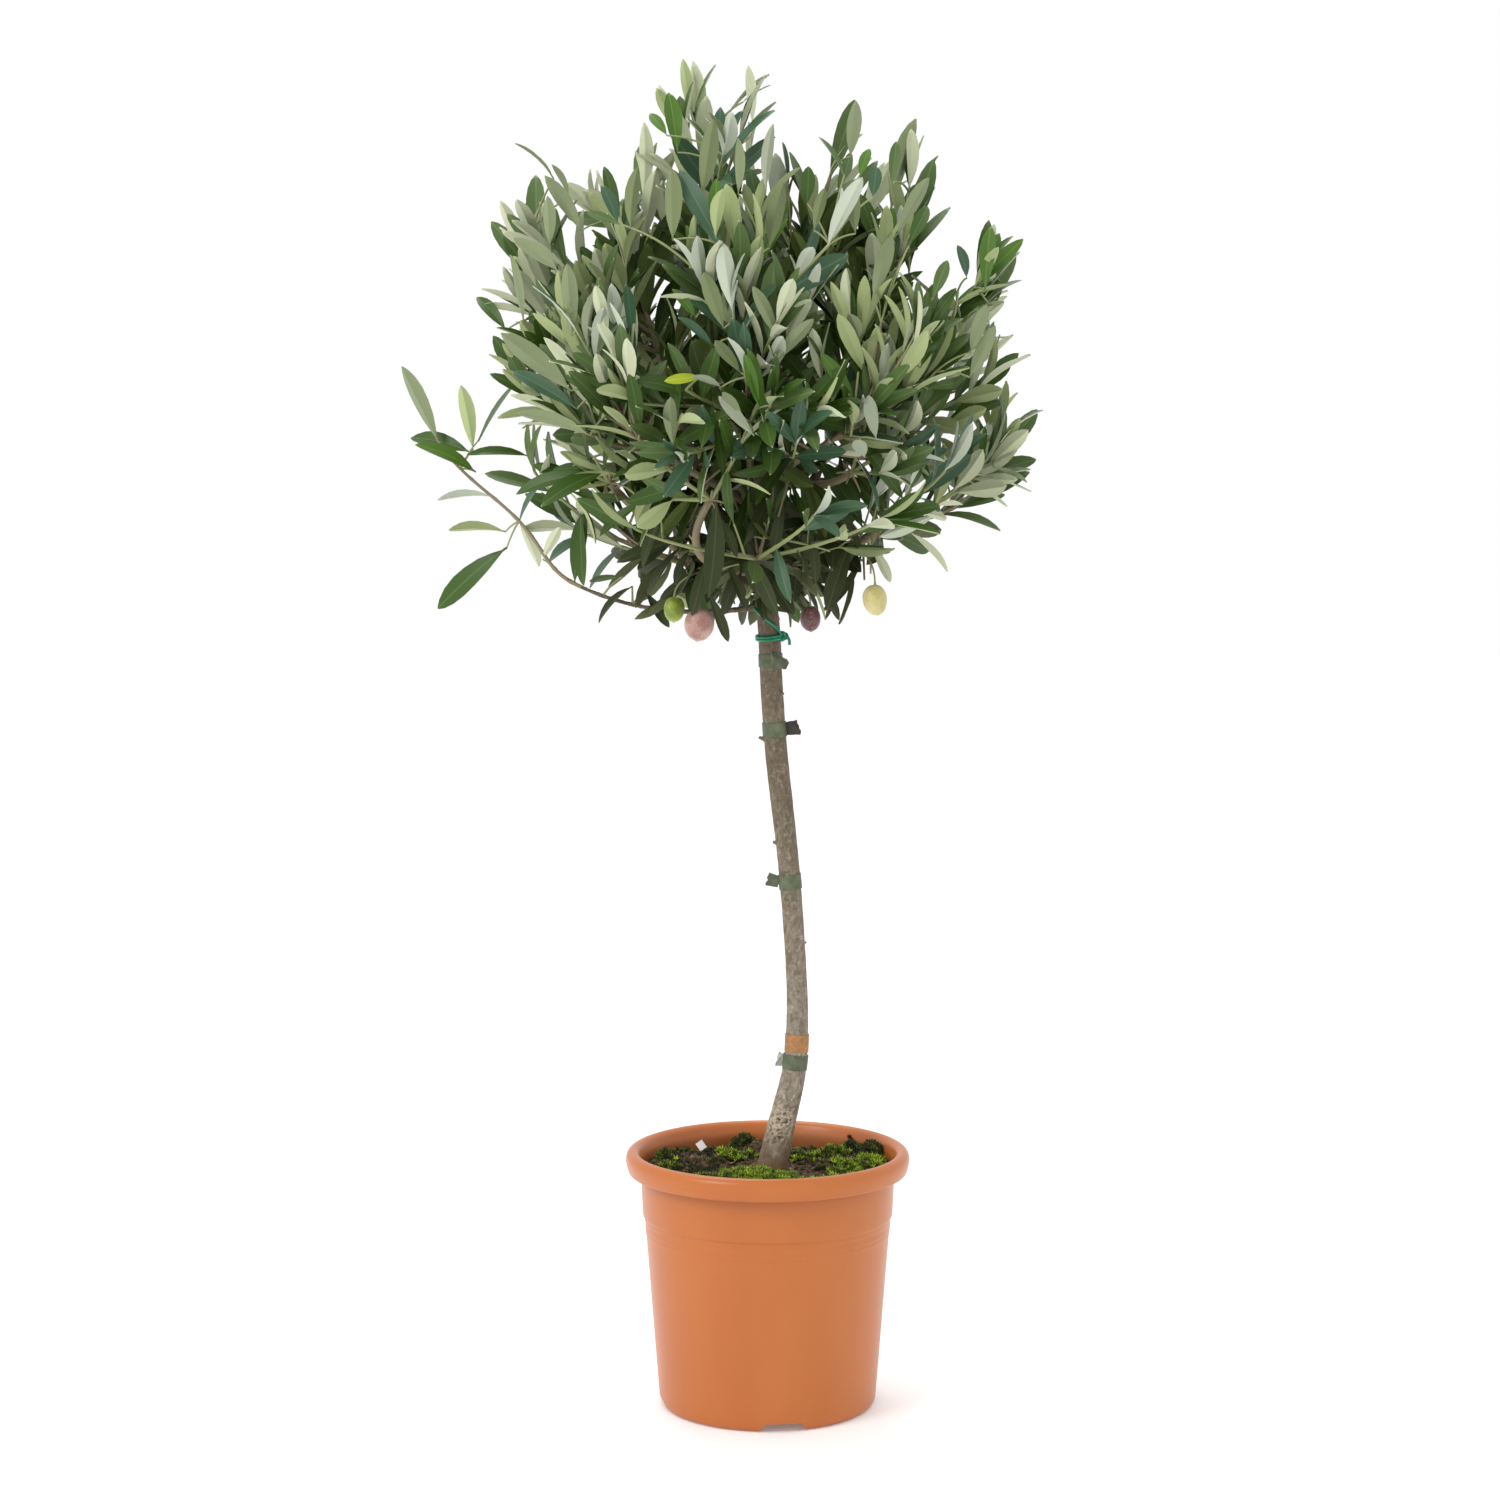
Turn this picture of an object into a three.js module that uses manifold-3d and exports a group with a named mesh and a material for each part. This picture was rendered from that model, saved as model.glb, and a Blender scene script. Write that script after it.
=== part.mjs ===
// A young olive tree grown as a standard in a moulded plant pot: a slender bent trunk, a round loose
// crown of narrow leaves with four olives under it, and the tape, marker and twine that the grower left
// round the trunk. Millimetres, +Z up, the front of the tree towards -Y. The origin is the middle of the
// pot's underside.
import * as THREE from "three";
import { mergeVertices } from "three/addons/utils/BufferGeometryUtils.js";
import Module from "manifold-3d";

const wasm = await Module();
wasm.setup();

const UP = new THREE.Vector3(0, 0, 1);
const GOLDEN_ANGLE = Math.PI * (3 - Math.sqrt(5));
const CLEAR = 0.3; // left between two pieces that touch on the real tree

// Pot
const POT_HEIGHT = 218;
const RIM_RADIUS = 120;
const RIM_DROP = 19; // how far the rolled rim hangs down outside
const MOUTH_RADIUS = 109;
const BAND_RADIUS = 107.2; // the raised band under the rim
const BAND_FOOT = 163;
const BODY_TOP_RADIUS = 103.6;
const FOOT_RADIUS = 91.4;
const WALL = 2.6;
const FLOOR = 9.5;
const NOTCHES = 4;
const NOTCH_TURN = 0.14; // radians from the front
const NOTCH_WIDTH = 41;
const NOTCH_TOP_WIDTH = 29;
const NOTCH_HEIGHT = 7.5;
const NOTCH_DEPTH = 26;
const DRAIN_RADIUS = 5;
const POT_SEGMENTS = 32;

// Soil
const SOIL_TOP = 197;
const SOIL_GAP = 0.6; // to the pot's wall
const SEAT_RADIUS = 17; // the flat place that the trunk stands on
const SOIL_SEGMENTS = 24;
const MOUNDS = [
  { x: -18, y: -42, radius: 52, height: 6 },
  { x: 62, y: 30, radius: 40, height: 7 },
  { x: -45, y: 45, radius: 34, height: 5 },
  { x: 86, y: 62, radius: 26, height: 10 },
  { x: -15, y: 88, radius: 26, height: 8 },
  { x: 55, y: -55, radius: 38, height: 4 },
];

// Trunk: stations of its middle line with the radius there. The first lies under the level cut of the foot.
const TRUNK_SIDES = 10;
const TRUNK = [
  { z: 186, x: 1, y: 0, radius: 16 },
  { z: 208, x: 5, y: 0, radius: 12.6 },
  { z: 240, x: 12, y: 1, radius: 11.6 },
  { z: 285, x: 22.3, y: 2, radius: 10.1 },
  { z: 330, x: 24.9, y: 3, radius: 9.2 },
  { z: 390, x: 22.8, y: 4, radius: 8.8 },
  { z: 470, x: 16.4, y: 3, radius: 9.0 },
  { z: 550, x: 7.4, y: 1, radius: 9.4 },
  { z: 610, x: 3.2, y: 0, radius: 9.4 },
  { z: 660, x: 0.6, y: -1, radius: 9.3 },
  { z: 704, x: -5, y: -1, radius: 8.9 },
  { z: 748, x: -12, y: 0, radius: 7.4 },
];

// The spray on the left hangs out alone: a long limb that sags first, with a round space of its own.
const SPRAY = { climb: -0.42, bow: 0.6, bare: 0.5, reach: 92 };

// Masses of foliage, one to a limb. "from" is what the limb leaves: the trunk at a height, or another
// limb at a share of its curve. "tip" is the furthest leaf it carries. "climb" bows the limb up or down,
// "bow" says how far out, and "rise" turns its side shoots up or down. Up to "bare" it is a bough, from
// there on the stem of its mass.
const MASSES = [
  { name: "top_centre", from: "trunk", at: 748, tip: [-64, -10, 1124], climb: 0.02 },
  { name: "left_high", from: "trunk", at: 724, tip: [-222, 15, 985], climb: -0.1 },
  { name: "right_high", from: "trunk", at: 731, tip: [208, 20, 968], climb: -0.1 },
  { name: "front_high", from: "trunk", at: 740, tip: [-25, -190, 985], climb: -0.1 },
  { name: "back_high", from: "trunk", at: 716, tip: [0, 190, 990], climb: -0.1 },
  { name: "right_low", from: "trunk", at: 706, tip: [220, 5, 786], climb: -0.04, bare: 0.2, rise: 0.12 },
  { name: "left_low", from: "trunk", at: 690, tip: [-205, 20, 768], climb: -0.04, bare: 0.2, rise: 0.1 },
  { name: "front_low", from: "trunk", at: 698, tip: [-15, -170, 700], climb: 0.14, bare: 0.22, rise: -0.1 },
  { name: "back_low", from: "trunk", at: 684, tip: [15, 170, 706], climb: 0.1, bare: 0.22, rise: -0.1 },
  { name: "left_spray", from: "trunk", at: 676, tip: [-304, -25, 877], ...SPRAY },
  { name: "top_right", from: "top_centre", at: 0.2, tip: [72, 10, 1094], climb: -0.04 },
  { name: "upper_right", from: "right_high", at: 0.2, tip: [134, -50, 1042], climb: -0.05 },
  { name: "upper_left", from: "left_high", at: 0.2, tip: [-140, -40, 1056], climb: -0.05 },
  { name: "front_left", from: "front_high", at: 0.12, tip: [-160, -165, 868], climb: -0.08 },
  { name: "front_right", from: "front_high", at: 0.21, tip: [112, -195, 872], climb: -0.08 },
  { name: "back_left", from: "back_high", at: 0.12, tip: [-140, 175, 872], climb: -0.08 },
  { name: "back_right", from: "back_high", at: 0.21, tip: [135, 180, 880], climb: -0.08 },
];
const USUAL = { bare: 0.3, rise: 0.22, bow: 0.5 }; // what a mass has where its line says nothing
const BOUGH_RADIUS = 4.6;
const SIDE_BOUGH_RADIUS = 3.9; // of a bough that leaves another bough
const STEM_RADIUS = 3;
const STEM_END_RADIUS = 2.3;

// Crown: the round outline that shoots and leaves stay in, squarer than a ball. Only each mass's own tip,
// and the spray that hangs out alone on the left, reach past it.
const CROWN = { x: -10, y: 0, z: 868, radius: 238, above: 246, below: 214, squareness: 2 };

// Side shoots
const SHOOTS = 6; // to a mass
const SHOOT_TRIES = 5;
const SHOOT_LENGTH = 105;
const SHORTEST_SHOOT = 34;
const SHOOT_RADIUS = 2.1;
const SHOOT_END_RADIUS = 1.6;

// Leaves, a little larger than life so that the crown is as full as the real one
const LEAF_LENGTH = 86;
const TIP_LEAF_SHARE = 0.8; // the leaf at the end of a stem or shoot is shorter
const LEAF_WIDTH_SHARE = 0.3;
const LEAF_THICKNESS = 1;
const ROOT_THICKNESS = 1;
const LEAF_LEAN = 0.72; // radians between a leaf and its shoot
const PAIR_GAP = 25; // between two pairs of leaves along a shoot
const STEM_PAIRS = 4;
const LEAF_TRIES = [[1, 0], [0.9, 0.5], [0.9, -0.5], [0.78, 0], [0.7, 0.9]]; // scale, swing round it
const SPECK = 1.2; // cubic millimetres that two leaves may share where their roots meet

// Olives: "at" is the share of its mass's stem where the stalk leaves
const OLIVES = [
  { mass: "front_low", at: 0.3, centre: [-56, -60, 664], radius: 12.6, length: 27 },
  { mass: "front_low", at: 0.15, centre: [-77, -35, 675], radius: 8.6, length: 21 },
  { mass: "front_low", at: 0.1, centre: [34, -62, 669], radius: 8.4, length: 21 },
  { mass: "right_low", at: 0.18, centre: [85, -100, 686], radius: 10, length: 25 },
];
const STALK_RADIUS = 1.3;

// Bands round the trunk. "tab" is where the folded end of a tape points, in radians from the right.
const BANDS = [
  { name: "tie_band_1", z: 630, height: 10, tab: 0.5 },
  { name: "tie_band_2", z: 571, height: 12.3, tab: 0.1 },
  { name: "tie_band_3", z: 445.6, height: 12, tab: Math.PI },
  { name: "tie_band_4", z: 292.2, height: 12, tab: Math.PI },
  { name: "marker_band", z: 309.2, height: 15.6 },
  { name: "twine_loop", z: 653, height: 5.6, thickness: 2.4, knot: 3.6 },
];
const BAND_SLACK = 0.9; // between a band and the trunk, which bends inside it
const TAPE_THICKNESS = 0.9;
const TAB_WIDTH = 9;
const TAB_THICKNESS = 1.4;

const mix = (a, b, share) => a + (b - a) * share;
const point = (p) => new THREE.Vector3(...p);

// A closed mesh as a solid that can be joined or cut.
function toSolid(geometry) {
  const bare = geometry.clone();
  bare.deleteAttribute("normal");
  bare.deleteAttribute("uv");
  const merged = mergeVertices(bare, 1e-4);
  const mesh = new wasm.Mesh({
    numProp: 3,
    vertProperties: merged.getAttribute("position").array,
    triVerts: new Uint32Array(merged.index.array),
  });
  return new wasm.Manifold(mesh);
}

function toGeometry(solid) {
  const mesh = solid.getMesh();
  const geometry = new THREE.BufferGeometry();
  geometry.setAttribute("position", new THREE.BufferAttribute(mesh.vertProperties, 3));
  geometry.setIndex(new THREE.BufferAttribute(mesh.triVerts, 1));
  geometry.computeVertexNormals();
  return geometry;
}

// The main body of a join: scraps that came loose and hollows that the join sealed are dropped.
function mainBody(solid) {
  return solid.decompose().reduce((a, b) => (a.volume() > b.volume() ? a : b));
}

function lathe(profile, segments) {
  const points = profile.map(([radius, height]) => new THREE.Vector2(radius, height));
  return toSolid(new THREE.LatheGeometry(points, segments).rotateX(Math.PI / 2));
}

// A unit vector square to a curve, turned round it by an angle. At 0 it faces along the axis that the
// curve as a whole runs least along, so it never flips on the way.
function squareTo(curve, share, turn) {
  const chord = curve.getPoint(1).sub(curve.getPoint(0)).toArray().map(Math.abs);
  const axis = new THREE.Vector3().setComponent(chord.indexOf(Math.min(...chord)), 1);
  const along = curve.getTangent(share);
  const side = axis.addScaledVector(along, -axis.dot(along)).normalize();
  return side.applyAxisAngle(along, turn);
}

// A direction that leans away from a curve by an angle, towards a side of it.
function leaning(curve, share, lean, turn) {
  const side = squareTo(curve, share, turn).multiplyScalar(Math.sin(lean));
  return curve.getTangent(share).multiplyScalar(Math.cos(lean)).add(side);
}

// A round limb along a curve, from one share of its length to another; radiusAt takes the same share.
function limb(curve, from, to, radiusAt, sides, steps) {
  const rod = new THREE.CylinderGeometry(1, 1, 1, sides, steps);
  const at = rod.getAttribute("position");
  for (let i = 0; i < at.count; i++) {
    const share = mix(from, to, at.getY(i) + 0.5);
    const side = squareTo(curve, share, 0);
    const other = new THREE.Vector3().crossVectors(side, curve.getTangent(share));
    const place = curve.getPoint(share);
    place.addScaledVector(side, at.getX(i) * radiusAt(share));
    place.addScaledVector(other, at.getZ(i) * radiusAt(share));
    at.setXYZ(i, ...place);
  }
  return toSolid(rod);
}

// A seeded draw from 0 to 1.
function seeded(seed) {
  let state = (seed * 2654435761) % 4294967296;
  return () => {
    state = (state * 1664525 + 1013904223) % 4294967296;
    return state / 4294967296;
  };
}

// The pot's wall in section: up the outside, over the rolled rim, which is hollow from below, and down
// inside.
function potProfile() {
  const rimFoot = POT_HEIGHT - RIM_DROP;
  const outside = [
    [0, 0],
    [FOOT_RADIUS - 5, 0],
    [FOOT_RADIUS - 1.4, 1.5],
    [FOOT_RADIUS, 5],
    [BODY_TOP_RADIUS, BAND_FOOT - 5],
    [BAND_RADIUS - 1.2, BAND_FOOT],
    [BAND_RADIUS, POT_HEIGHT - 7],
  ];
  const rim = [
    [RIM_RADIUS - 5.4, POT_HEIGHT - 7],
    [RIM_RADIUS - 5.6, rimFoot],
    [RIM_RADIUS - 2.8, rimFoot],
    [RIM_RADIUS, POT_HEIGHT - 9],
    [RIM_RADIUS - 1.6, POT_HEIGHT - 3.6],
    [RIM_RADIUS - 5.5, POT_HEIGHT - 0.6],
    [MOUTH_RADIUS + 3, POT_HEIGHT],
    [MOUTH_RADIUS, POT_HEIGHT - 2.6],
  ];
  const inside = [
    [BAND_RADIUS - WALL, POT_HEIGHT - 14],
    [BODY_TOP_RADIUS - WALL, BAND_FOOT - 5],
    [FOOT_RADIUS - WALL - 1, FLOOR],
    [0, FLOOR],
  ];
  return [...outside, ...rim, ...inside];
}

// A wedge-shaped notch in the foot with a drain hole up through the floor at its inner end.
function drainNotch(index) {
  const below = 1;
  const outline = new THREE.Shape([
    new THREE.Vector2(-NOTCH_WIDTH / 2, -below),
    new THREE.Vector2(NOTCH_WIDTH / 2, -below),
    new THREE.Vector2(NOTCH_TOP_WIDTH / 2, NOTCH_HEIGHT),
    new THREE.Vector2(-NOTCH_TOP_WIDTH / 2, NOTCH_HEIGHT),
  ]);
  const inner = NOTCH_DEPTH - FOOT_RADIUS;
  const cut = new THREE.ExtrudeGeometry(outline, { depth: 2 * NOTCH_DEPTH, bevelEnabled: false });
  cut.rotateX(Math.PI / 2).translate(0, inner, 0);
  const hole = new THREE.CylinderGeometry(DRAIN_RADIUS, DRAIN_RADIUS, FLOOR, 10).rotateX(Math.PI / 2);
  hole.translate(0, inner - DRAIN_RADIUS - 3, NOTCH_HEIGHT);
  const turn = NOTCH_TURN + (index * 2 * Math.PI) / NOTCHES;
  return toSolid(cut.rotateZ(turn)).add(toSolid(hole.rotateZ(turn)));
}

function makePot() {
  let pot = lathe(potProfile(), POT_SEGMENTS);
  for (let i = 0; i < NOTCHES; i++) pot = pot.subtract(drainNotch(i));
  return pot;
}

// How far the soil stands over its level: round mounds that die out at the trunk and at the wall.
function soilRise(x, y) {
  const foot = trunkAt(SOIL_TOP);
  const fromTrunk = Math.hypot(x - foot.x, y - foot.y);
  const fromWall = MOUTH_RADIUS - Math.hypot(x, y);
  let rise = 0;
  for (const mound of MOUNDS) {
    const near = Math.max(0, 1 - ((x - mound.x) ** 2 + (y - mound.y) ** 2) / mound.radius ** 2);
    rise += mound.height * near * near;
  }
  const atTrunk = THREE.MathUtils.smoothstep(fromTrunk, SEAT_RADIUS, 2.2 * SEAT_RADIUS);
  return rise * atTrunk * THREE.MathUtils.smoothstep(fromWall, 5, 20);
}

function makeSoil() {
  const rings = 7;
  const neck = BAND_FOOT - 5;
  const gap = WALL + SOIL_GAP;
  const edge = mix(BODY_TOP_RADIUS, BAND_RADIUS, (SOIL_TOP - neck) / (POT_HEIGHT - 14 - neck)) - gap;
  const base = FLOOR + CLEAR;
  const profile = [[0, base], [FOOT_RADIUS - gap - 1, base], [BODY_TOP_RADIUS - gap, neck]];
  for (let ring = rings; ring >= 0; ring--) profile.push([(edge * ring) / rings, SOIL_TOP]);
  const points = profile.map(([radius, height]) => new THREE.Vector2(radius, height));
  const heap = new THREE.LatheGeometry(points, SOIL_SEGMENTS).rotateX(Math.PI / 2);
  const at = heap.getAttribute("position");
  for (let i = 0; i < at.count; i++) {
    if (at.getZ(i) > SOIL_TOP - CLEAR) at.setZ(i, SOIL_TOP + soilRise(at.getX(i), at.getY(i)));
  }
  return toSolid(heap);
}

// The trunk's station at a height, between two of those that are set.
function trunkAt(height) {
  const above = TRUNK.findIndex((s) => s.z >= height);
  const [a, b] = [TRUNK[above - 1], TRUNK[above]];
  const between = (height - a.z) / (b.z - a.z);
  return {
    x: mix(a.x, b.x, between),
    y: mix(a.y, b.y, between),
    radius: mix(a.radius, b.radius, between),
    share: (above - 1 + between) / (TRUNK.length - 1),
  };
}

function makeTrunkCurve() {
  const stations = TRUNK.map((s) => new THREE.Vector3(s.x, s.y, s.z));
  return new THREE.CatmullRomCurve3(stations, false, "catmullrom", 0.5);
}

function trunkRadius(share) {
  const station = share * (TRUNK.length - 1);
  const below = Math.min(Math.floor(station), TRUNK.length - 2);
  return mix(TRUNK[below].radius, TRUNK[below + 1].radius, station - below);
}

function makeTrunk(curve, extra) {
  const level = SOIL_TOP + CLEAR;
  const below = new THREE.BoxGeometry(200, 200, level).translate(0, 0, level / 2);
  return limb(curve, 0, 1, (s) => trunkRadius(s) + extra, TRUNK_SIDES, 16).subtract(toSolid(below));
}

// A ring square to the trunk, wide enough that its flats clear the trunk's corners.
function makeBand(band, curve) {
  const { share } = trunkAt(band.z);
  const half = band.height / 2;
  const snug = trunkAt(band.z).radius + BAND_SLACK;
  const inner = snug / Math.cos(Math.PI / TRUNK_SIDES);
  const outer = inner + (band.thickness ?? TAPE_THICKNESS);
  const section = [[inner, -half], [outer, -half], [outer, half], [inner, half], [inner, -half]];
  let ring = lathe(section, TRUNK_SIDES);
  if (band.tab !== undefined) {
    const tab = new THREE.BoxGeometry(TAB_WIDTH, TAB_THICKNESS, band.height * 0.9);
    tab.translate(snug + (TAPE_THICKNESS + TAB_WIDTH) / 2, 0, 0).rotateX(0.15).rotateZ(-band.tab);
    ring = ring.add(toSolid(tab));
  }
  if (band.knot) {
    const knot = new THREE.SphereGeometry(band.knot, 6, 4).translate(outer + band.knot / 3, 0, 0);
    ring = ring.add(toSolid(knot.rotateZ(-Math.PI / 4)));
  }
  const lean = new THREE.Quaternion().setFromUnitVectors(UP, curve.getTangent(share));
  const set = new THREE.Matrix4().makeRotationFromQuaternion(lean).setPosition(curve.getPoint(share));
  return ring.transform(set.toArray());
}

// Sets out a mass's limb, from the middle of what it leaves to a tip leaf's length short of its tip.
function layOut(mass, trunkCurve) {
  Object.assign(mass, { ...USUAL, ...mass });
  mass.carrier = MASSES.find((m) => m.name === mass.from);
  const start = mass.carrier
    ? mass.carrier.curve.getPoint(mass.at)
    : trunkCurve.getPoint(trunkAt(mass.at).share);
  const tip = point(mass.tip);
  const bend = start.clone().lerp(tip, mass.bow).addScaledVector(UP, mass.climb * tip.distanceTo(start));
  const last = tip.clone().sub(bend).normalize();
  const end = tip.clone().addScaledVector(last, -LEAF_LENGTH * TIP_LEAF_SHARE);
  mass.curve = new THREE.QuadraticBezierCurve3(start, bend, end);
  mass.middle = mass.curve.getPoint((1 + mass.bare) / 2);
}

function boughSolid(mass, extra) {
  const thick = mass.carrier ? SIDE_BOUGH_RADIUS : BOUGH_RADIUS;
  return limb(mass.curve, 0, mass.bare, (s) => mix(thick, STEM_RADIUS, s / mass.bare) + extra, 5, 3);
}

// The flesh and stalk of an olive.
function oliveSolids(olive, mass, extra) {
  const centre = point(olive.centre);
  const top = centre.clone().addScaledVector(UP, olive.length * 0.42);
  const start = mass.curve.getPoint(mix(mass.bare, 1, olive.at));
  const bend = new THREE.Vector3(top.x, top.y, Math.max(start.z, top.z + 20));
  const stalk = new THREE.QuadraticBezierCurve3(start, bend, top);
  const radius = olive.radius + extra;
  const flesh = new THREE.SphereGeometry(1, 8, 6).rotateX(Math.PI / 2);
  flesh.scale(radius, radius, olive.length / 2 + extra).translate(...centre);
  return [limb(stalk, 0, 1, () => STALK_RADIUS + extra, 3, 3), toSolid(flesh)];
}

// The leaf at a mass's own tip.
function tipLeaf(mass, extra) {
  return leafSolid(mass.curve, 0.99, 0, 0, 1, LEAF_LENGTH * TIP_LEAF_SHARE, extra);
}

// A mass's stem, tip leaf and olives, whose place is set, so the other masses keep clear of them.
function setPieces(mass, extra) {
  const first = mass.bare + CLEAR / mass.curve.getLength();
  const radius = (s) => mix(STEM_RADIUS, STEM_END_RADIUS, (s - mass.bare) / (1 - mass.bare)) + extra;
  const stem = limb(mass.curve, first, 1, radius, 3, 4);
  const olives = OLIVES.filter((o) => o.mass === mass.name);
  const fruit = olives.flatMap((o) => oliveSolids(o, mass, extra));
  return wasm.Manifold.union([stem, tipLeaf(mass, extra), ...fruit]);
}

// Whether a place is in the crown's outline, or in its own round reach for the spray that hangs out alone.
function inReach(mass, place) {
  if (mass.reach) return place.distanceTo(mass.middle) < mass.reach;
  const out = Math.hypot(place.x - CROWN.x, place.y - CROWN.y) / CROWN.radius;
  const up = Math.abs(place.z - CROWN.z) / (place.z > CROWN.z ? CROWN.above : CROWN.below);
  return out ** CROWN.squareness + up ** CROWN.squareness < 1;
}

// Whether a place is nearer to this mass's middle than to any other's, by a clear margin.
function inSpace(mass, place) {
  return MASSES.every((other) => {
    if (other === mass) return true;
    const nearer = place.distanceToSquared(other.middle) - place.distanceToSquared(mass.middle);
    return nearer / (2 * mass.middle.distanceTo(other.middle)) > CLEAR;
  });
}

function corners(solid) {
  const flat = solid.getMesh().vertProperties;
  const found = [];
  for (let i = 0; i < flat.length; i += 3) found.push(new THREE.Vector3(flat[i], flat[i + 1], flat[i + 2]));
  return found;
}

// Whether two solids share more than a speck.
function cross(one, other) {
  const a = one.boundingBox();
  const b = other.boundingBox();
  const apart = [0, 1, 2].some((axis) => a.min[axis] > b.max[axis] || b.min[axis] > a.max[axis]);
  return !apart && one.intersect(other).volume() > SPECK;
}

// Draws a side shoot: round the stem by the golden angle, more upright towards the tip, and bent up or
// down on its way. It is drawn again, and shortened, until it stays in its mass's space.
function findShoot(mass, k, draw, isFree) {
  let found = null;
  for (let attempt = 0; attempt < SHOOT_TRIES; attempt++) {
    const along = (k + 0.5 + 0.6 * (draw() - 0.5)) / SHOOTS;
    const turn = k * GOLDEN_ANGLE + attempt * 1.7 + 0.5 * (draw() - 0.5);
    const lean = mix(1.2, 0.6, along) + 0.4 * (draw() - 0.5);
    let length = SHOOT_LENGTH * mix(0.8, 1.2, draw());
    const share = mix(mass.bare, 1, mix(0.04, 0.94, along));
    const start = mass.curve.getPoint(share);
    const heading = leaning(mass.curve, share, lean, turn);
    for (; length > SHORTEST_SHOOT && !found; length *= 0.85) {
      const bend = start.clone().addScaledVector(heading, length / 2);
      const end = start.clone().addScaledVector(heading, length).addScaledVector(UP, mass.rise * length);
      const curve = new THREE.QuadraticBezierCurve3(start, bend, end);
      const leafTip = curve.getPoint(1).addScaledVector(curve.getTangent(1), LEAF_LENGTH * 0.55);
      const places = [curve.getPoint(0.5), curve.getPoint(1), leafTip];
      if (!inReach(mass, leafTip) || !places.every((place) => inSpace(mass, place))) continue;
      const twig = limb(curve, 0, 1, (s) => mix(SHOOT_RADIUS, SHOOT_END_RADIUS, s), 3, 2);
      if (isFree(twig)) found = { curve, length, twig };
    }
  }
  return found;
}

// A lance-shaped leaf of eight faces. Its root is an upright edge sunk in the shoot, and its upper face
// looks towards the shoot's tip.
function leafSolid(curve, share, lean, turn, roll, length, extra = 0) {
  const root = curve.getPoint(share);
  const heading = leaning(curve, share, lean, turn);
  const upper = leaning(curve, share, lean - Math.PI / 2, turn).applyAxisAngle(heading, roll);
  const across = new THREE.Vector3().crossVectors(heading, upper);
  const width = length * LEAF_WIDTH_SHARE + 2 * extra;
  const place = (along, side, up) => {
    const corner = root.clone().addScaledVector(heading, along * (length + extra));
    return corner.addScaledVector(across, side * width).addScaledVector(upper, up + Math.sign(up) * extra);
  };
  const [top, under, right, left, end, rib] = [0, 1, 2, 3, 4, 5];
  const blade = new THREE.BufferGeometry().setFromPoints([
    place(0.003, 0, ROOT_THICKNESS / 2),
    place(0.003, 0, -ROOT_THICKNESS / 2),
    place(0.52, 0.5, 0.6),
    place(0.52, -0.5, 0.6),
    place(1, 0, -1.5),
    place(0.5, 0, LEAF_THICKNESS),
  ]);
  const upperFaces = [top, right, rib, right, end, rib, end, left, rib, left, top, rib];
  const lowerFaces = [under, end, right, under, left, end, top, left, under, top, under, right];
  blade.setIndex([...upperFaces, ...lowerFaces]);
  return toSolid(blade);
}

// Leaves of a stem or shoot: one on at its tip, then opposite pairs, each square to the one before.
function addLeaves(curve, first, pairs, turn, draw, fits, leaves) {
  const add = (share, lean, around, roll, length) => {
    const made = ([scale, swing]) => leafSolid(curve, share, lean, around + swing, roll, length * scale);
    const fitting = LEAF_TRIES.map(made).find(fits);
    if (fitting) leaves.push(fitting);
  };
  add(0.99, 0.1, turn, 0, LEAF_LENGTH * TIP_LEAF_SHARE);
  for (let pair = 0; pair < pairs; pair++) {
    const share = mix(first, 0.92, pairs > 1 ? pair / (pairs - 1) : 1);
    for (const half of [0, Math.PI]) {
      const lean = LEAF_LEAN + 0.5 * (draw() - 0.5);
      const around = turn + (pair * Math.PI) / 2 + half + 0.4 * (draw() - 0.5);
      add(share, lean, around, 0.8 * (draw() - 0.5), LEAF_LENGTH * mix(0.85, 1.1, draw()));
    }
  }
}

function makeMass(mass, seed, obstacles) {
  const isFree = (solid) => solid.intersect(obstacles).isEmpty();
  const shoots = [];
  const draw = seeded(seed);
  for (let k = 0; k < SHOOTS; k++) {
    const clears = (twig) => isFree(twig) && !shoots.some((s) => cross(twig, s.twig));
    const shoot = findShoot(mass, k, draw, clears);
    if (shoot) shoots.push(shoot);
  }
  const twigs = shoots.map((s) => s.twig);
  const leaves = [tipLeaf(mass, 0)];
  const fits = (leaf) =>
    corners(leaf).every((p) => inSpace(mass, p) && inReach(mass, p)) &&
    isFree(leaf) &&
    ![...leaves, ...twigs].some((other) => cross(leaf, other));
  const leafDraw = seeded(seed + 500);
  for (const { curve, length } of shoots) {
    const pairs = Math.max(1, Math.round((0.7 * length) / PAIR_GAP));
    addLeaves(curve, 0.28, pairs, seed + leaves.length, leafDraw, fits, leaves);
  }
  addLeaves(mass.curve, mix(mass.bare, 1, 0.08), STEM_PAIRS, seed, leafDraw, fits, leaves);
  return mainBody(wasm.Manifold.union([setPieces(mass, 0), ...twigs, ...leaves]).subtract(obstacles));
}

const finish = (color, roughness) => new THREE.MeshStandardMaterial({ color, roughness, metalness: 0 });
const plastic = finish("#cf7f4e", 0.45);
const soil = finish("#54472f", 0.95);
const bark = finish("#7e7262", 0.85);
const foliage = finish("#6f8158", 0.6);
const tape = finish("#67725a", 0.7);
const marker = finish("#c08c52", 0.7);
const twine = finish("#0f7a4c", 0.6);

const tree = new THREE.Group();
tree.name = "potted_olive_tree";

function addNode(name, solid, material) {
  const mesh = new THREE.Mesh(toGeometry(solid), material);
  mesh.name = name;
  tree.add(mesh);
}

addNode("pot", makePot(), plastic);
addNode("soil", makeSoil(), soil);

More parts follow.
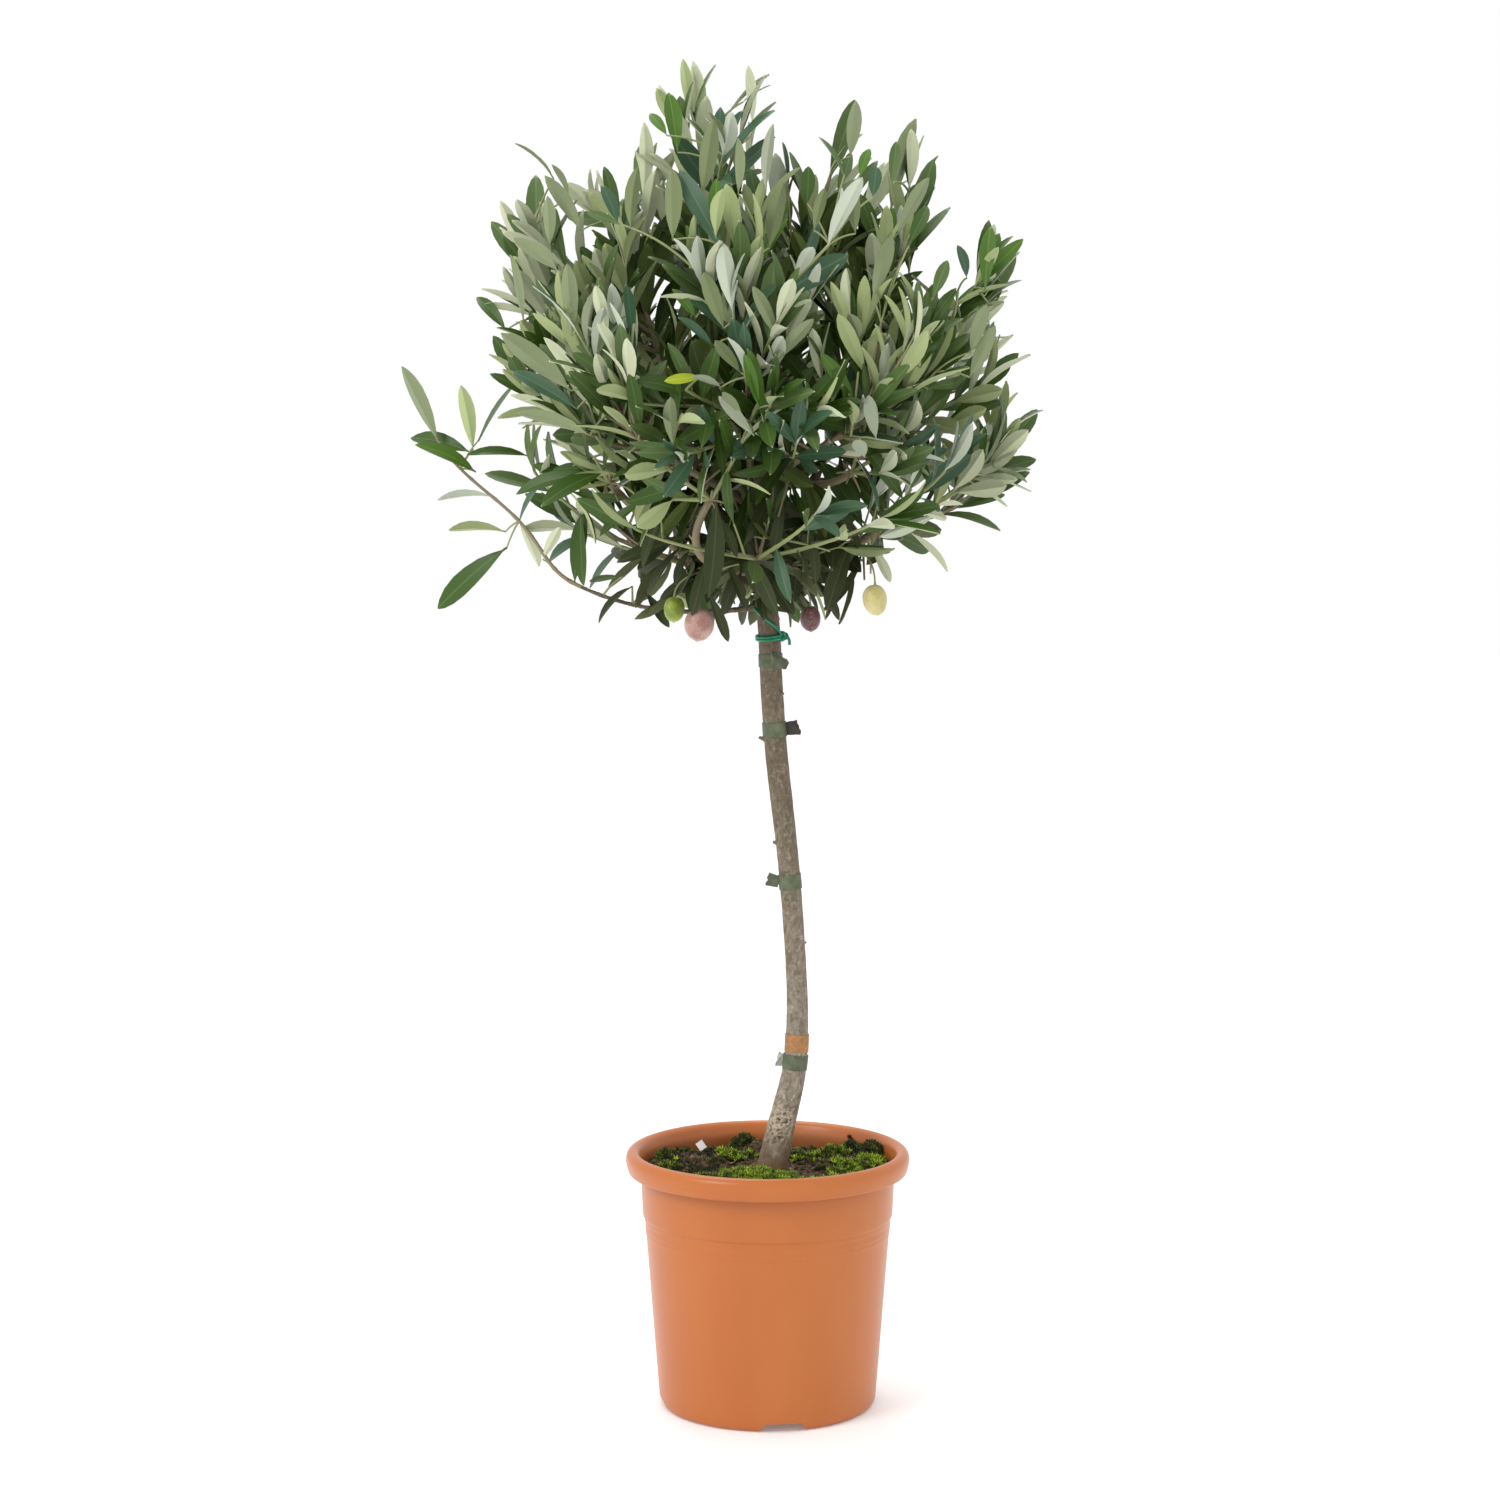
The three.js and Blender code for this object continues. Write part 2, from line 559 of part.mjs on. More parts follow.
const trunkCurve = makeTrunkCurve();
addNode("trunk", makeTrunk(trunkCurve, 0), bark);
const limbs = [makeTrunk(trunkCurve, CLEAR)];
for (const band of BANDS) {
  const material = { marker_band: marker, twine_loop: twine }[band.name] ?? tape;
  addNode(band.name, makeBand(band, trunkCurve), material);
}

for (const mass of MASSES) {
  layOut(mass, trunkCurve);
  const bough = limbs.reduce((rest, other) => rest.subtract(other), boughSolid(mass, 0));
  addNode(`bough_${mass.name}`, mainBody(bough), bark);
  limbs.push(boughSolid(mass, CLEAR));
}

const allLimbs = wasm.Manifold.union(limbs);
MASSES.forEach((mass, index) => {
  const others = MASSES.filter((m) => m !== mass).map((m) => setPieces(m, CLEAR));
  const obstacles = wasm.Manifold.union([allLimbs, ...others]);
  addNode(`foliage_${mass.name}`, makeMass(mass, index + 1, obstacles), foliage);
});

export default tree;
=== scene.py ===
import math

import bmesh
import bpy
import numpy as np
from mathutils import Matrix, Quaternion, Vector, kdtree, noise


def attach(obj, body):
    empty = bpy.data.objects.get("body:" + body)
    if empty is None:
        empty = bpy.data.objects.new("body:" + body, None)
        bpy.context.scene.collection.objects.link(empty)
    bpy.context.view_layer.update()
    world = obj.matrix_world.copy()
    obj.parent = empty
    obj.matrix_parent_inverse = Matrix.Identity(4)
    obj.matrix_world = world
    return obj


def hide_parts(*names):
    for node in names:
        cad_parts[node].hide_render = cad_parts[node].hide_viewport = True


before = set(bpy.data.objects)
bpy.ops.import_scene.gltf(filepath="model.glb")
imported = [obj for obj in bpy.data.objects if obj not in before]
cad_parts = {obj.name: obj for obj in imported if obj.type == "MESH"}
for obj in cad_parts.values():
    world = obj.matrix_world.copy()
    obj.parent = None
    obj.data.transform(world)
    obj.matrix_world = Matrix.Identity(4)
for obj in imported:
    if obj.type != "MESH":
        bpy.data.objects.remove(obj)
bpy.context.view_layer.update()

# Camera
# A short telephoto at chest height, a good two and a half metres in front of the tree, tilted a little down.
SENSOR_WIDTH, FOCAL_LENGTH = 36, 78.1
CAMERA_PLACE = (-0.0149, -2.7, 0.82)
CAMERA_TILT = 5.59  # degrees down from level
scene = bpy.context.scene
scene.view_settings.view_transform = "Standard"

camera_lens = bpy.data.cameras.new("camera")
camera_lens.sensor_width = SENSOR_WIDTH
camera_lens.lens = FOCAL_LENGTH
camera = bpy.data.objects.new("camera", camera_lens)
camera.location = CAMERA_PLACE
camera.rotation_euler = (math.radians(90 - CAMERA_TILT), 0, 0)
scene.collection.objects.link(camera)
scene.camera = camera


# Floor and light
# A white studio: a matt painted floor, white all round, and three large soft boxes. The key stands high in
# front on the left, a weaker one fills from the right, and one stands over the crown from behind.
def linear(hex_code):
    """An sRGB hex colour as the linear one that shaders take."""
    values = [int(hex_code[i : i + 2], 16) / 255 for i in (1, 3, 5)]
    return (*(v / 12.92 if v <= 0.04045 else ((v + 0.055) / 1.055) ** 2.4 for v in values), 1)


def new_material(name, **sockets):
    """A material with constant values on its shader's own sockets."""
    made = bpy.data.materials.new(name)
    made.use_nodes = True
    shader = made.node_tree.nodes["Principled BSDF"]
    for socket, value in sockets.items():
        shader.inputs[socket.replace("_", " ")].default_value = value
    return made


def node(tree, kind, inputs=None, **settings):
    """Adds a node. Inputs go by a socket's name or number, to a value or to another node's output."""
    made = tree.nodes.new(kind)
    for name, value in settings.items():
        setattr(made, name, value)
    for key, value in (inputs or {}).items():
        if isinstance(value, bpy.types.NodeSocket):
            tree.links.new(value, made.inputs[key])
        else:
            made.inputs[key].default_value = value
    return made


def new_object(name, vertices, faces, materials, slots=None):
    """A smooth mesh object from points in metres."""
    mesh = bpy.data.meshes.new(name)
    mesh.from_pydata([tuple(v) for v in vertices], [], faces, shade_flat=False)
    for made in materials:
        mesh.materials.append(made)
    if slots is not None:
        mesh.polygons.foreach_set("material_index", slots)
    thing = bpy.data.objects.new(name, mesh)
    scene.collection.objects.link(thing)
    return thing


# Matt emulsion paint on a smooth screed: no gloss, nearly white.
floor_paint = new_material("matt_white_paint", Base_Color=linear("#f2f2f2"), Roughness=0.9,
                           Emission_Color=(1, 1, 1, 1), Emission_Strength=0.14)
FLOOR_HALF = 9
corners = [(x * FLOOR_HALF, y * FLOOR_HALF, 0) for x, y in ((-1, -1), (1, -1), (1, 1), (-1, 1))]
floor = new_object("floor", corners, [(0, 1, 2, 3)], [floor_paint])

world = bpy.data.worlds.new("white_studio")
world.use_nodes = True
world.node_tree.nodes["Background"].inputs["Color"].default_value = (1, 1, 1, 1)
world.node_tree.nodes["Background"].inputs["Strength"].default_value = 1.0
scene.world = world

LIT_PLACE = (0, 0, 0.6)  # what the soft boxes point at
SOFT_BOXES = {  # place, side in metres, watts
    "key": ((-2.3, -2.0, 2.7), 1.5, 52),
    "fill": ((2.4, -2.2, 1.4), 2.0, 3),
    "top": ((-0.3, 1.2, 3.0), 1.4, 26),
}
for name, (place, side, watts) in SOFT_BOXES.items():
    box = bpy.data.lights.new(name, "AREA")
    box.shape = "SQUARE"
    box.size = side
    box.energy = watts
    lamp = bpy.data.objects.new(name, box)
    lamp.location = place
    lamp.rotation_euler = (Vector(place) - Vector(LIT_PLACE)).to_track_quat("Z", "Y").to_euler()
    scene.collection.objects.link(lamp)


# Pot
# An injection-moulded grower's pot in terracotta-coloured polypropylene: one thin wall with a rolled rim, a
# belt that steps out over two faint beads, and four wedge-shaped notches in the foot that let water out.
MM = 0.001
POT_TURNS = 160
POT_OUTSIDE = [  # radius, height, and how far the corner there is rounded, all in millimetres
    (0, 0, 0), (88.5, 0, 3.5), (91.6, 5, 3), (102.6, 146, 1), (103.2, 147.6, 1), (103.1, 150.4, 0.8),
    (103.5, 152, 0.8), (103.4, 156.8, 0.8), (103.9, 158.4, 0.8), (103.9, 161.4, 0.7), (105.4, 162.8, 0.8),
    (105.9, 172, 2), (106.9, 196, 2), (107.2, 210, 2),
]
POT_RIM = [
    (114.2, 210.6, 2.5), (114.5, 200.6, 0.9), (115.8, 199, 0.9), (117.4, 199.8, 1.2), (119.95, 208.6, 5),
    (119, 215.2, 4.5), (113.8, 218.6, 5), (108.9, 216.2, 3),
]
POT_INSIDE = [(105.4, 207, 5), (104.3, 190, 4), (101.2, 158, 4), (87.8, 9.5, 4), (0, 9.5, 0)]
NOTCH_COUNT = 4
NOTCH_TURN = 0.14  # radians from the front to the first notch
NOTCH = [(-20.5, -1), (20.5, -1), (14.5, 7.5), (-14.5, 7.5)]  # its outline across and up
NOTCH_END = 65.4  # from the pot's axis to the notch's inner end
OUTSIDE = 130  # a radius outside the pot, where the cut starts
DRAIN_RADIUS, DRAIN_SIDES = 5, 24
DRAIN_PLACE = 73.4  # from the pot's axis to the drain hole's
DRAIN_TOP = 14  # a height over the pot's floor, where the cut ends


def rounded(corners, steps=5):
    """A section with its corners rounded: each by a short curve that starts its radius before the corner."""
    section = []
    for i, (r, z, round_by) in enumerate(corners):
        here = Vector((r, z))
        if round_by == 0 or i in (0, len(corners) - 1):
            section.append(here)
            continue
        before = Vector(corners[i - 1][:2])
        after = Vector(corners[i + 1][:2])
        start = here + (before - here).normalized() * min(round_by, (before - here).length / 2)
        end = here + (after - here).normalized() * min(round_by, (after - here).length / 2)
        for k in range(steps + 1):
            t = k / steps
            section.append(start * (1 - t) ** 2 + here * 2 * t * (1 - t) + end * t * t)
    return section


def shell_faces(rings, turns):
    """The faces of a closed shell: its points are two ends, then the rings of points between them."""
    faces = []
    for k in range(turns):
        nxt = (k + 1) % turns
        faces.append((0, 2 + nxt, 2 + k))
        for i in range(rings - 1):
            a, b = 2 + i * turns, 2 + (i + 1) * turns
            faces.append((a + k, a + nxt, b + nxt, b + k))
        last = 2 + (rings - 1) * turns
        faces.append((last + k, last + nxt, 1))
    return faces


def turned(section, turns):
    """A closed shell of revolution from a section that starts and ends on the axis."""
    vertices = [Vector((0, 0, section[0].y)), Vector((0, 0, section[-1].y))]
    for p in section[1:-1]:
        for k in range(turns):
            angle = 2 * math.pi * k / turns
            vertices.append(Vector((p.x * math.cos(angle), p.x * math.sin(angle), p.y)))
    return vertices, shell_faces(len(section) - 2, turns)


def joined(parts):
    """Several sets of vertices and faces as one."""
    vertices, faces = [], []
    for some, their_faces in parts:
        faces += [tuple(i + len(vertices) for i in f) for f in their_faces]
        vertices += some
    return vertices, faces


def prism(first, second):
    """A closed block between two outlines of as many points."""
    sides = len(first)
    faces = [tuple(reversed(range(sides))), tuple(range(sides, 2 * sides))]
    faces += [(i, (i + 1) % sides, sides + (i + 1) % sides, sides + i) for i in range(sides)]
    return first + second, faces


def plain_mesh(thing):
    """Turns a piece's modifiers into plain mesh."""
    graph = bpy.context.evaluated_depsgraph_get()
    mesh = bpy.data.meshes.new_from_object(thing.evaluated_get(graph), depsgraph=graph)
    old = thing.data
    thing.modifiers.clear()
    thing.data = mesh
    bpy.data.meshes.remove(old)
    return mesh


def cloud(tree, scale, detail, rough=0.5, stretch=1.0):
    """A cloudy noise fixed to the piece, with its scale along the height multiplied by the stretch."""
    place = node(tree, "ShaderNodeTexCoord")
    drawn = node(tree, "ShaderNodeMapping", {"Vector": place.outputs["Object"], "Scale": (1, 1, stretch)})
    made = node(tree, "ShaderNodeTexNoise", {
        "Vector": drawn.outputs[0], "Scale": scale, "Detail": detail, "Roughness": rough})
    return made.outputs["Fac"]


def spread(tree, value, low, high, at_low=0.0, at_high=1.0):
    """A value that is spread from one pair of numbers to another, and held at its ends."""
    return node(tree, "ShaderNodeMapRange", {
        "Value": value, "From Min": low, "From Max": high, "To Min": at_low, "To Max": at_high}).outputs[0]


def both(tree, a, b):
    """The product of two shares."""
    return node(tree, "ShaderNodeMath", {0: a, 1: b}, operation="MULTIPLY").outputs[0]


def two_tone(tree, value, low, dark, high, light):
    """One hex colour at a low value, another at a high one, and what lies between."""
    ramp = node(tree, "ShaderNodeValToRGB", {"Fac": value})
    for stop, at, colour in zip(ramp.color_ramp.elements, (low, high), (dark, light)):
        stop.position = at
        stop.color = linear(colour)
    return ramp.outputs["Color"]


def blended(tree, share, below, above):
    """One colour over another, by a share from 0 to 1. Colours are hex or a node's output."""
    below, above = (linear(colour) if isinstance(colour, str) else colour for colour in (below, above))
    return node(tree, "ShaderNodeMix", {"Factor": share, 6: below, 7: above}, data_type="RGBA").outputs[2]


def relief(tree, height, strength, depth):
    """A bump by a noise, with its depth in metres."""
    bump = node(tree, "ShaderNodeBump", {"Height": height, "Strength": strength, "Distance": depth})
    return bump.outputs[0]


def link_finish(tree, **outputs):
    """Links nodes' outputs to the shader's sockets of those names."""
    for socket, output in outputs.items():
        tree.links.new(output, tree.nodes["Principled BSDF"].inputs[socket.replace("_", " ")])


# Polypropylene, moulded on a fine-spark-eroded tool: a satin sheen, faint flow marks round the wall, and a
# soft glow at the edge where the white studio is seen in it at a low angle. Inside, a dark band is painted on
# the wall just above the bed: partly a stain from damp peat, partly painted shade under the rim.
WALL_INSIDE = (0.1056, 0.1066)  # radii in metres: darkened by stain and painted shade up to the first, clean from the second
STAIN_AND_SHADE = (0.196, 0.214)  # heights in metres: where the stain and painted shade are strong, and where they have nearly gone
BED_AT_WALL = 0.19  # the height in metres from which the wall's inside shows
pot_plastic = new_material("moulded_polypropylene", Roughness=0.42, IOR=1.49, Specular_IOR_Level=0.25,
                           Coat_Weight=0.35, Coat_Roughness=0.24)
tree = pot_plastic.node_tree
flow = cloud(tree, 9, 4, rough=0.55, stretch=0.35)
place = node(tree, "ShaderNodeTexCoord")
spot = node(tree, "ShaderNodeSeparateXYZ", {"Vector": place.outputs["Object"]})
level = node(tree, "ShaderNodeCombineXYZ", {"X": spot.outputs["X"], "Y": spot.outputs["Y"]})
from_middle = node(tree, "ShaderNodeVectorMath", {0: level.outputs[0]}, operation="LENGTH")
above_bed = node(tree, "ShaderNodeMath", {0: spot.outputs["Z"], 1: BED_AT_WALL}, operation="GREATER_THAN")
wall = both(tree, spread(tree, from_middle.outputs["Value"], *WALL_INSIDE, 1, 0), above_bed.outputs[0])
# The dark band inside the wall, strongest next to the bed: partly a peat stain, partly painted shade.
stain_and_shade = both(tree, wall, spread(tree, spot.outputs["Z"], *STAIN_AND_SHADE, 0.75, 0.1))
plastic = two_tone(tree, flow, 0.3, "#b0602a", 0.75, "#bb6c31")
link_finish(
    tree,
    Base_Color=blended(tree, stain_and_shade, plastic, "#6f452b"),
    Roughness=spread(tree, flow, 0, 1, 0.36, 0.5),
    Normal=relief(tree, cloud(tree, 900, 2), 0.06, 0.0004),
)

shell = rounded(POT_OUTSIDE + POT_RIM + POT_INSIDE)
vertices, faces = turned(shell, POT_TURNS)
pot = new_object("pot_moulding", [v * MM for v in vertices], faces, [pot_plastic])

tools = []
for k in range(NOTCH_COUNT):
    turn = Matrix.Rotation(NOTCH_TURN + 2 * math.pi * k / NOTCH_COUNT, 4, "Z")
    tools.append(prism(*([turn @ Vector((x, -away, z)) for x, z in NOTCH] for away in (NOTCH_END, OUTSIDE))))
    hole = []
    for i in range(DRAIN_SIDES):
        a = 2 * math.pi * i / DRAIN_SIDES
        hole.append(Vector((DRAIN_RADIUS * math.cos(a), DRAIN_RADIUS * math.sin(a) - DRAIN_PLACE, 0)))
    tools.append(prism(*([turn @ (p + Vector((0, 0, z))) for p in hole] for z in (-1, DRAIN_TOP))))
cut_vertices, cut_faces = joined(tools)
cutter = new_object("notch_tool", [v * MM for v in cut_vertices], cut_faces, [])
cut = pot.modifiers.new("notches", "BOOLEAN")
cut.operation = "DIFFERENCE"
cut.solver = "EXACT"
cut.use_self = True
cut.object = cutter
plain_mesh(pot)
bpy.data.objects.remove(cutter)
pot.data.set_sharp_from_angle(angle=math.radians(50))
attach(pot, "root")
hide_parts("pot")


# Compost
# Moist peat and bark compost that fills the pot to two centimetres under the rim. It has settled unevenly,
# and moss has grown on its humps. The bed is one rough surface, and loose crumbs, chips and moss lie on it.
SOIL_TOP = 197
SOIL_EDGE = 103.6
BED_UNDERSIDE = [(0, 12), (85, 12), (99.4, 151)]  # radius and height, just off the pot's floor and wall
BED_RINGS, BED_TURNS = 64, 150
MOUNDS = [  # middle, radius, height
    (-18, -42, 52, 6), (62, 30, 40, 7), (-45, 45, 34, 5), (86, 62, 26, 10), (-15, 88, 26, 8),
    (55, -55, 38, 4), (-84, 30, 40, 9), (-60, -55, 34, 4), (92, 10, 34, 5),
]
FOOT = (3.3, 0)  # where the trunk stands
FOOT_CLEAR = 15  # the radius round it that is flat and bare


def held(share):
    """A share kept from 0 to 1."""
    return min(1, max(0, share))


def soil_height(x, y):
    """The bed's height at a place, all in millimetres."""
    rise = sum(h * max(0, 1 - ((x - mx) ** 2 + (y - my) ** 2) / r**2) ** 2 for mx, my, r, h in MOUNDS)
    from_trunk = held((math.hypot(x - FOOT[0], y - FOOT[1]) - FOOT_CLEAR) / 14)
    from_wall = held((104 - math.hypot(x, y)) / 14)
    rough = noise.noise(Vector((x, y, 0)) * 0.09) * 2.2 + noise.noise(Vector((x, y, 7)) * 0.3) * 1.3
    return SOIL_TOP + (rise + rough) * (0.15 + 0.85 * from_trunk) * (0.62 + 0.38 * from_wall)


# Peat, wet underneath and drying on top: dark brown crumbs with paler dry tops, no gloss.
peat = new_material("moist_peat_compost", Roughness=0.95, Specular_IOR_Level=0.25)
tree = peat.node_tree
lumps = cloud(tree, 140, 6)
link_finish(tree, Base_Color=two_tone(tree, lumps, 0.35, "#1f170f", 0.68, "#6b5940"),
            Normal=relief(tree, lumps, 0.9, 0.002))

rings = BED_UNDERSIDE + [(SOIL_EDGE * (BED_RINGS - i) / BED_RINGS, None) for i in range(BED_RINGS)]
vertices = [Vector((0, 0, BED_UNDERSIDE[0][1])), Vector((0, 0, soil_height(0, 0)))]
for radius, height in rings[1:]:
    for k in range(BED_TURNS):
        a = 2 * math.pi * k / BED_TURNS
        x, y = radius * math.cos(a), radius * math.sin(a)
        vertices.append(Vector((x, y, height if height is not None else soil_height(x, y))))
faces = shell_faces(len(rings) - 1, BED_TURNS)
bed = new_object("compost_bed", [v * MM for v in vertices], faces, [peat])
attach(bed, "root")
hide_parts("soil")


def new_tree(name, **inputs):
    """A node tree that takes and gives geometry, and what it is given. Other inputs go by name and kind."""
    group = bpy.data.node_groups.new(name, "GeometryNodeTree")
    for way in ("INPUT", "OUTPUT"):
        group.interface.new_socket("Geometry", in_out=way, socket_type="NodeSocketGeometry")
    for label, kind in inputs.items():
        group.interface.new_socket(label, in_out="INPUT", socket_type=f"NodeSocket{kind}")
    return group, node(group, "NodeGroupInput").outputs


def named(group, name, kind):
    """What the script has noted on each point or face under a name."""
    return node(group, "GeometryNodeInputNamedAttribute", {"Name": name}, data_type=kind).outputs["Attribute"]


def made_real(group, geometry, finish):
    """Instances as plain mesh in one finish."""
    real = node(group, "GeometryNodeRealizeInstances", {"Geometry": geometry})
    done = node(group, "GeometryNodeSetMaterial", {"Geometry": real.outputs[0], "Material": finish})
    return done.outputs[0]


def scatter_tree(name):
    """Points on a mesh's chosen faces, a shape on each, turned and sized at random, as one plain mesh."""
    group, given = new_tree(name, Shape="Object", Spacing="Float", Density="Float", Smallest="Float",
                            Largest="Float", Tumble="Float", Finish="Material", Seed="Int")
    points = node(group, "GeometryNodeDistributePointsOnFaces", {
        "Mesh": given["Geometry"], "Distance Min": given["Spacing"], "Density Max": given["Density"],
        "Density Factor": named(group, "cover", "FLOAT"), "Seed": given["Seed"]}, distribute_method="POISSON")
    shape = node(group, "GeometryNodeObjectInfo", {"Object": given["Shape"]})
    spin = node(group, "ShaderNodeCombineXYZ", {"X": given["Tumble"], "Y": given["Tumble"], "Z": math.pi})
    back = node(group, "ShaderNodeVectorMath", {0: spin.outputs[0], "Scale": -1}, operation="SCALE")
    turn = node(group, "FunctionNodeRandomValue", {"Min": back.outputs[0], "Max": spin.outputs[0]},
                data_type="FLOAT_VECTOR")
    size = node(group, "FunctionNodeRandomValue", {2: given["Smallest"], 3: given["Largest"]},
                data_type="FLOAT")
    placed = node(group, "GeometryNodeInstanceOnPoints", {
        "Points": points.outputs["Points"], "Instance": shape.outputs["Geometry"],
        "Rotation": turn.outputs[0], "Scale": size.outputs[1]})
    node(group, "NodeGroupOutput", {"Geometry": made_real(group, placed.outputs[0], given["Finish"])})
    return group


def grown(thing, group, **values):
    """Runs a node tree on an object, with its inputs by name, and keeps the result as plain mesh."""
    maker = thing.modifiers.new(group.name, "NODES")
    maker.node_group = group
    for item in group.interface.items_tree:
        if item.item_type == "SOCKET" and item.in_out == "INPUT" and item.name in values:
            maker[item.identifier] = values[item.name]
    plain_mesh(thing)
    return thing


SHEET_CELLS = 120  # along each side of the strewn sheets


def cover_sheet(name, cover, rise=lambda x, y: 0):
    """The top of the bed as a loose sheet, with how thickly each place is strewn."""
    n = SHEET_CELLS
    side = 2 * SOIL_EDGE / n
    spots, squares = [], []
    for j in range(n + 1):
        for i in range(n + 1):
            x, y = -SOIL_EDGE + i * side, -SOIL_EDGE + j * side
            spots.append(Vector((x, y, soil_height(x, y) + rise(x, y))) * MM)
    for j in range(n):
        for i in range(n):
            x, y = -SOIL_EDGE + (i + 0.5) * side, -SOIL_EDGE + (j + 0.5) * side
            if math.hypot(x, y) < SOIL_EDGE - 2.5 and math.hypot(x - FOOT[0], y - FOOT[1]) > FOOT_CLEAR:
                a = j * (n + 1) + i
                squares.append((a, a + 1, a + n + 2, a + n + 1))
    sheet = new_object(name, spots, squares, [])
    share = sheet.data.attributes.new("cover", "FLOAT", "POINT")
    share.data.foreach_set("value", [cover(v.x / MM, v.y / MM) for v in spots])
    return sheet


def lump(name, flat, seed):
    """A small angular crumb, one unit across, that lies flat side down."""
    golden = (1 + math.sqrt(5)) / 2
    corners = [Vector(p).normalized() for p in [
        (-1, golden, 0), (1, golden, 0), (-1, -golden, 0), (1, -golden, 0),
        (0, -1, golden), (0, 1, golden), (0, -1, -golden), (0, 1, -golden),
        (golden, 0, -1), (golden, 0, 1), (-golden, 0, -1), (-golden, 0, 1)]]
    faces = [
        (0, 11, 5), (0, 5, 1), (0, 1, 7), (0, 7, 10), (0, 10, 11), (1, 5, 9), (5, 11, 4), (11, 10, 2),
        (10, 7, 6), (7, 1, 8), (3, 9, 4), (3, 4, 2), (3, 2, 6), (3, 6, 8), (3, 8, 9), (4, 9, 5), (2, 4, 11),
        (6, 2, 10), (8, 6, 7), (9, 8, 1)]
    for i, v in enumerate(corners):
        v *= 0.5 * (1 + 0.45 * noise.noise(Vector((i * 1.7, seed, 0.3))))
        v.z *= flat
    shape = new_object(name, corners, faces, [])
    shape.data.shade_flat()
    shape.hide_render = True
    return shape


MOSS = [  # patches of moss: middle, radius, and how fresh it is, from old dark cushions to yellow-green tips
    (-6, -38, 36, 0.95), (-33, 43, 14, 0.8), (-22, 85, 12, 0.2), (52, 42, 18, 1.0), (44, 52, 30, 0.55),
    (28, 68, 13, 0.3), (91, 38, 12, 0.1), (73, 62, 10, 0.1), (35, 80, 9, 0.1), (92, 14, 20, 0.9),
    (70, 0, 26, 0.6), (-58, 8, 24, -0.1), (-40, 62, 18, -0.05), (-90, 24, 12, 0.15), (-70, 50, 12, 0.1),
    (-62, -34, 17, 0.3), (36, -60, 26, 0.6), (-84, 4, 11, 0.4), (-48, 68, 9, 0.1), (-72, -58, 15, 0.5),
    (10, -84, 20, 0.6), (-14, 60, 9, 0.4),
]
TUFTS = [  # moss that stands up: middle, radius, height
    (91, 38, 11, 15), (-22, 85, 9, 9), (73, 62, 8, 8), (35, 80, 7, 6), (93, 14, 10, 4), (-33, 43, 12, 6),
    (56, 40, 13, 7), (-90, 24, 9, 6), (-70, 50, 9, 5), (-48, 68, 7, 5), (-6, -36, 30, 4),
]


def moss_patch(x, y):
    """How deep in its moss patch a place is, at most 1, and how fresh the moss is there."""
    return max((1 - math.hypot(x - px, y - py) / r, fresh) for px, py, r, fresh in MOSS)


def cushion(x, y):
    """The dome of the moss cushion at a place: 1 on its top, 0 in the gaps."""
    away = noise.voronoi(Vector((x, y, 0)) / 10.5)[0][0]
    return max(0, 1 - (away / 0.68) ** 2)


def mossiness(x, y):
    """How mossy a place on the bed is, from 0 to 1."""
    depth, fresh = moss_patch(x, y)
    ragged = noise.noise(Vector((x, y, 3)) * 0.13)
    gaps = min(1, (0.6 if fresh > 0.75 else 0.25) + 1.4 * cushion(x, y))
    return held(depth * 3 + ragged * 1.6) * gaps


def moss_rise(x, y):
    """How far the moss stands over the bed."""
    tuft = max(h * max(0, 1 - ((x - tx) ** 2 + (y - ty) ** 2) / r**2) for tx, ty, r, h in TUFTS)
    return max(tuft, 3.2 * cushion(x, y)) * min(1, mossiness(x, y) * 1.5)


strewing = scatter_tree("strewn_over_the_bed")
crumb = lump("crumb", 0.7, 1)
chip = lump("bark_chip", 0.28, 5)

# Bark fines and wood fibre among the peat: paler and harder than it.
bark_chips = new_material("composted_bark", Base_Color=linear("#7a6348"), Roughness=0.85)
crumbs = grown(cover_sheet("compost_crumbs", lambda x, y: 1 - 0.8 * mossiness(x, y)), strewing,
               Shape=crumb, Spacing=0.0022, Density=70000.0, Smallest=0.0022, Largest=0.0062, Tumble=1.5,
               Finish=peat, Seed=3)
chips = grown(cover_sheet("bark_chips", lambda x, y: 1 - 0.7 * mossiness(x, y)), strewing,
              Shape=chip, Spacing=0.006, Density=7000.0, Smallest=0.003, Largest=0.009, Tumble=0.5,
              Finish=bark_chips, Seed=11)
for thing in (crumbs, chips):
    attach(thing, "root")

# A sprig of moss: five short pointed blades from one foot, a few millimetres high.
SPRIG_BLADES = 5
blades = []
for k in range(SPRIG_BLADES):
    a = k * 2 * math.pi / SPRIG_BLADES
    out = Vector((math.cos(a), math.sin(a), 0))
    across = Vector((-out.y, out.x, 0)) * 0.13
    low, mid = out * 0.05, out * 0.3 + Vector((0, 0, 0.5))
    tip = out * 0.62 + Vector((0, 0, 0.8 + 0.2 * (k % 2)))
    blade = [low - across, low + across, mid + across * 1.2, tip, mid - across * 1.2, mid + out * 0.12]
    blades.append((blade, [(0, 5, 1), (1, 5, 2), (2, 5, 3), (3, 5, 4), (4, 5, 0), (0, 1, 2, 4), (4, 2, 3)]))
sprig = new_object("moss_sprig", *joined(blades), [])
sprig.data.shade_flat()
sprig.hide_render = True

